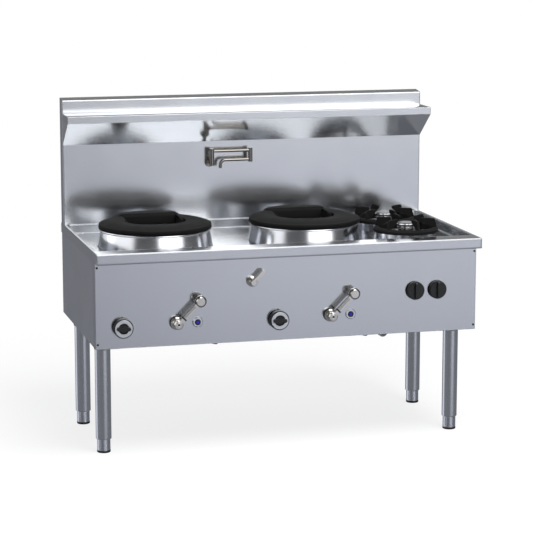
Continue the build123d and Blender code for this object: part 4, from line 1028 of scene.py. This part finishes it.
@dataclass
class Studio:
    """Pale floor, soft key light, reflecting wall, world and camera, in metres.

    Two pairs say where a change starts and ends: wall_tint by the sine of the elevation, and shadow_reach by
    the distance from the range.
    """

    wall_radius: float = 14.0
    wall_grey: float = 0.27
    wall_tint: Pair = (-0.08, 0.1)
    panels: tuple[SoftPanel, ...] = (
        SoftPanel(23.0, 6.0, 26.0, 0.5, 0.6, 0.25, 0.62),
        SoftPanel(18.5, 20.0, 9.0, 0.52, 0.42, 0.07, 2.3),
        SoftPanel(-126.0, 14.0, 12.0, 0.3, 0.9, 0.2, 0.85),
        SoftPanel(-91.0, 28.0, 12.0, 0.5, 0.45, 0.1, 1.1),
        SoftPanel(28.0, 14.0, 14.0, 0.9, 0.14, 0.12, 1.1),
        SoftPanel(180.0, 100.0, 30.0, 0.92, 0.16, 0.08, 1.6),
        SoftPanel(-165.0, 25.0, 15.0, 0.0, 0.4, 0.2, -0.05),
        SoftPanel(-25.0, 25.0, 20.0, 0.5, 0.45, 0.1, -0.15),
        SoftPanel(75.0, 22.0, 15.0, 0.5, 0.45, 0.1, -0.14),
    )
    room_strength: float = 0.5
    key_watts: float = 190.0
    key_size: float = 2.2
    key_place: Point = (0.5, -1.4, 3.6)
    key_aim: Point = (0.0, 0.0, 0.8)
    camera_place: Point = (-2.0614, -7.7680, 2.0869)
    camera_turn: Point = (79.873, 0.0, -14.857)
    lens: float = 139.73
    sensor: float = 36.0
    sight: float = 200.0
    floor_half: float = 60.0
    floor_white: float = 0.8
    shadow_reach: Pair = (0.9, 2.4)

    def camera(self) -> None:
        """Stand the camera at the photograph's viewing angle."""
        data = bpy.data.cameras.new("camera")
        data.lens = self.lens
        data.sensor_width = self.sensor
        data.clip_end = self.sight
        made = bpy.data.objects.new("camera", data)
        made.location = self.camera_place
        made.rotation_euler = tuple(math.radians(a) for a in self.camera_turn)
        bpy.context.scene.collection.objects.link(made)
        bpy.context.scene.camera = made

    def wall(self) -> None:
        """Make the round wall whose soft panels the metal reflects."""
        mesh = bmesh.new()
        bmesh.ops.create_uvsphere(mesh, u_segments=64, v_segments=32, radius=self.wall_radius)
        made = as_object("studio_wall", mesh)
        for ray in ("camera", "diffuse", "shadow", "transmission"):
            setattr(made, f"visible_{ray}", False)
        material = bpy.data.materials.new("Studio wall")
        tree = empty_tree(material)
        coords = add_node(tree, "ShaderNodeTexCoord").outputs["Object"]
        way = add_node(tree, "ShaderNodeVectorMath", {"operation": "NORMALIZE"}, {0: coords}).outputs[0]
        split = add_node(tree, "ShaderNodeSeparateXYZ", None, {0: way})
        front = add_node(tree, "ShaderNodeMath", {"operation": "MULTIPLY", 1: -1.0}, {0: split.outputs["Y"]})
        bearing = add_node(tree, "ShaderNodeMath", {"operation": "ARCTAN2"},
                           {0: split.outputs["X"], 1: front.outputs[0]}).outputs[0]
        total = None
        for panel in self.panels:
            glow = self.panel_glow(tree, panel, bearing, split.outputs["Z"])
            total = glow if total is None else add_node(tree, "ShaderNodeMath", {"operation": "ADD"},
                                                        {0: total, 1: glow}).outputs[0]
        sum_all = add_node(tree, "ShaderNodeMath", {"operation": "ADD", 1: self.wall_grey}, {0: total})
        low, high = self.wall_tint
        white = add_node(tree, "ShaderNodeMapRange",
                         {"From Min": low, "From Max": high, "To Min": 0.0, "To Max": 1.0},
                         {"Value": split.outputs["Z"]})
        tint = add_node(tree, "ShaderNodeMix",
                        {"data_type": "RGBA", 6: linear("#F0F3FF"), 7: linear("#FFFFFF")},
                        {0: white.outputs["Result"]})
        light = add_node(tree, "ShaderNodeEmission", None,
                         {"Color": tint.outputs[2], "Strength": sum_all.outputs[0]})
        add_node(tree, "ShaderNodeOutputMaterial", None, {"Surface": light.outputs[0]})
        made.data.materials.append(material)

    def panel_glow(self, tree: Tree, panel: SoftPanel, bearing: Socket, rise: Socket) -> Socket:
        """Add one soft panel's brightness.

        Args:
            tree: the wall's nodes.
            panel: the panel.
            bearing: azimuth of the wall's point in radians.
            rise: sine of its elevation.

        Returns:
            Brightness that the panel adds.
        """
        parts = []
        for source, middle, half, fade in (
            (bearing, math.radians(panel.azimuth), math.radians(panel.half_width), math.radians(panel.fade)),
            (rise, panel.height, panel.half_height, panel.height_fade),
        ):
            off = add_node(tree, "ShaderNodeMath", {"operation": "SUBTRACT", 1: middle}, {0: source})
            size = add_node(tree, "ShaderNodeMath", {"operation": "ABSOLUTE"}, {0: off.outputs[0]})
            soft = add_node(tree, "ShaderNodeMapRange",
                            {"interpolation_type": "SMOOTHSTEP", "From Min": half, "From Max": half + fade,
                             "To Min": 1.0, "To Max": 0.0}, {"Value": size.outputs[0]})
            parts.append(soft.outputs["Result"])
        both = add_node(tree, "ShaderNodeMath", {"operation": "MULTIPLY"}, {0: parts[0], 1: parts[1]})
        return add_node(tree, "ShaderNodeMath", {"operation": "MULTIPLY", 1: panel.strength},
                        {0: both.outputs[0]}).outputs[0]

    def seen_by(self, tree: Tree) -> Socket:
        """Tell camera, glossy and transmission rays, which see the plain white background, from the rest.

        Args:
            tree: the world's or the floor's nodes.

        Returns:
            Output that is 1 for such a ray and 0 for any other.
        """
        path = add_node(tree, "ShaderNodeLightPath")
        first = add_node(tree, "ShaderNodeMath", {"operation": "MAXIMUM"},
                         {0: path.outputs["Is Camera Ray"], 1: path.outputs["Is Glossy Ray"]})
        return add_node(tree, "ShaderNodeMath", {"operation": "MAXIMUM"},
                        {0: first.outputs[0], 1: path.outputs["Is Transmission Ray"]}).outputs[0]

    def floor(self) -> None:
        """Lay the pale floor, which keeps the range's soft shadow and fades to white further off."""
        mesh = bmesh.new()
        bmesh.ops.create_grid(mesh, x_segments=1, y_segments=1, size=self.floor_half)
        made = as_object("floor", mesh)
        made.visible_glossy = False
        material = bpy.data.materials.new("Pale floor")
        tree = empty_tree(material)
        coords = add_node(tree, "ShaderNodeTexCoord").outputs["Object"]
        away = add_node(tree, "ShaderNodeVectorMath", {"operation": "LENGTH"}, {0: coords}).outputs["Value"]
        near, far = self.shadow_reach
        share = add_node(tree, "ShaderNodeMapRange",
                         {"interpolation_type": "SMOOTHSTEP", "From Min": near, "From Max": far,
                          "To Min": self.floor_white, "To Max": 1.0}, {"Value": away}).outputs["Result"]
        amount = add_node(tree, "ShaderNodeMath", {"operation": "MULTIPLY"},
                          {0: share, 1: self.seen_by(tree)})
        matt = add_node(tree, "ShaderNodeBsdfDiffuse", {"Color": linear("#FAFAFA")})
        white = add_node(tree, "ShaderNodeEmission", {"Color": (1.0, 1.0, 1.0, 1.0), "Strength": 1.0})
        mixed = add_node(tree, "ShaderNodeMixShader", None,
                         {0: amount.outputs[0], 1: matt.outputs[0], 2: white.outputs[0]})
        add_node(tree, "ShaderNodeOutputMaterial", None, {"Surface": mixed.outputs[0]})
        made.data.materials.append(material)

    def key_light(self) -> None:
        """Hang the soft lamp over the cook's side; the wall's panels take its place in reflections."""
        data = bpy.data.lights.new("key", "AREA")
        data.shape = "RECTANGLE"
        data.size = data.size_y = self.key_size
        data.energy = self.key_watts
        made = bpy.data.objects.new("key", data)
        made.location = self.key_place
        made.rotation_euler = (Vector(self.key_aim) - made.location).to_track_quat("-Z", "Y").to_euler()
        made.visible_glossy = False
        bpy.context.scene.collection.objects.link(made)

    def world(self) -> None:
        """Light the room softly; the background itself is white."""
        world = bpy.data.worlds.new("studio")
        bpy.context.scene.world = world
        tree = empty_tree(world)
        soft = add_node(tree, "ShaderNodeBackground",
                        {"Color": linear("#F4F6FB"), "Strength": self.room_strength})
        white = add_node(tree, "ShaderNodeBackground", {"Color": (1.0, 1.0, 1.0, 1.0), "Strength": 1.0})
        mixed = add_node(tree, "ShaderNodeMixShader", None,
                         {0: self.seen_by(tree), 1: soft.outputs[0], 2: white.outputs[0]})
        add_node(tree, "ShaderNodeOutputWorld", None, {"Surface": mixed.outputs[0]})

    def build(self) -> None:
        """Set up the studio."""
        bpy.context.scene.view_settings.view_transform = "Standard"
        self.camera()
        self.wall()
        self.floor()
        self.key_light()
        self.world()
        log.info("studio ready")


def main() -> None:
    """Build the studio, dress the frame and add every small part in order."""
    logging.basicConfig(level=logging.INFO, format="%(message)s")
    Studio().build()
    dress_frame()
    FootFittings().build()
    for side, x in WOK_PLACES.items():
        WokBurnerFittings(side, x).build()
        WokRingCasting(side, x).build()
        PilotControl(side, x + PILOT_SIDE).build()
        LeverControl(side, x + LEVER_SIDE).build()
        IgniterControl(side, x + BUTTON_SIDE).build()
    for row, y in SIDE_BURNER_ROWS.items():
        SideBurnerFittings(row, y).build()
    SplashbackSheets().build()
    PanelFasteners().build()
    UnionNuts().build()


if __name__ == "__main__":
    main()
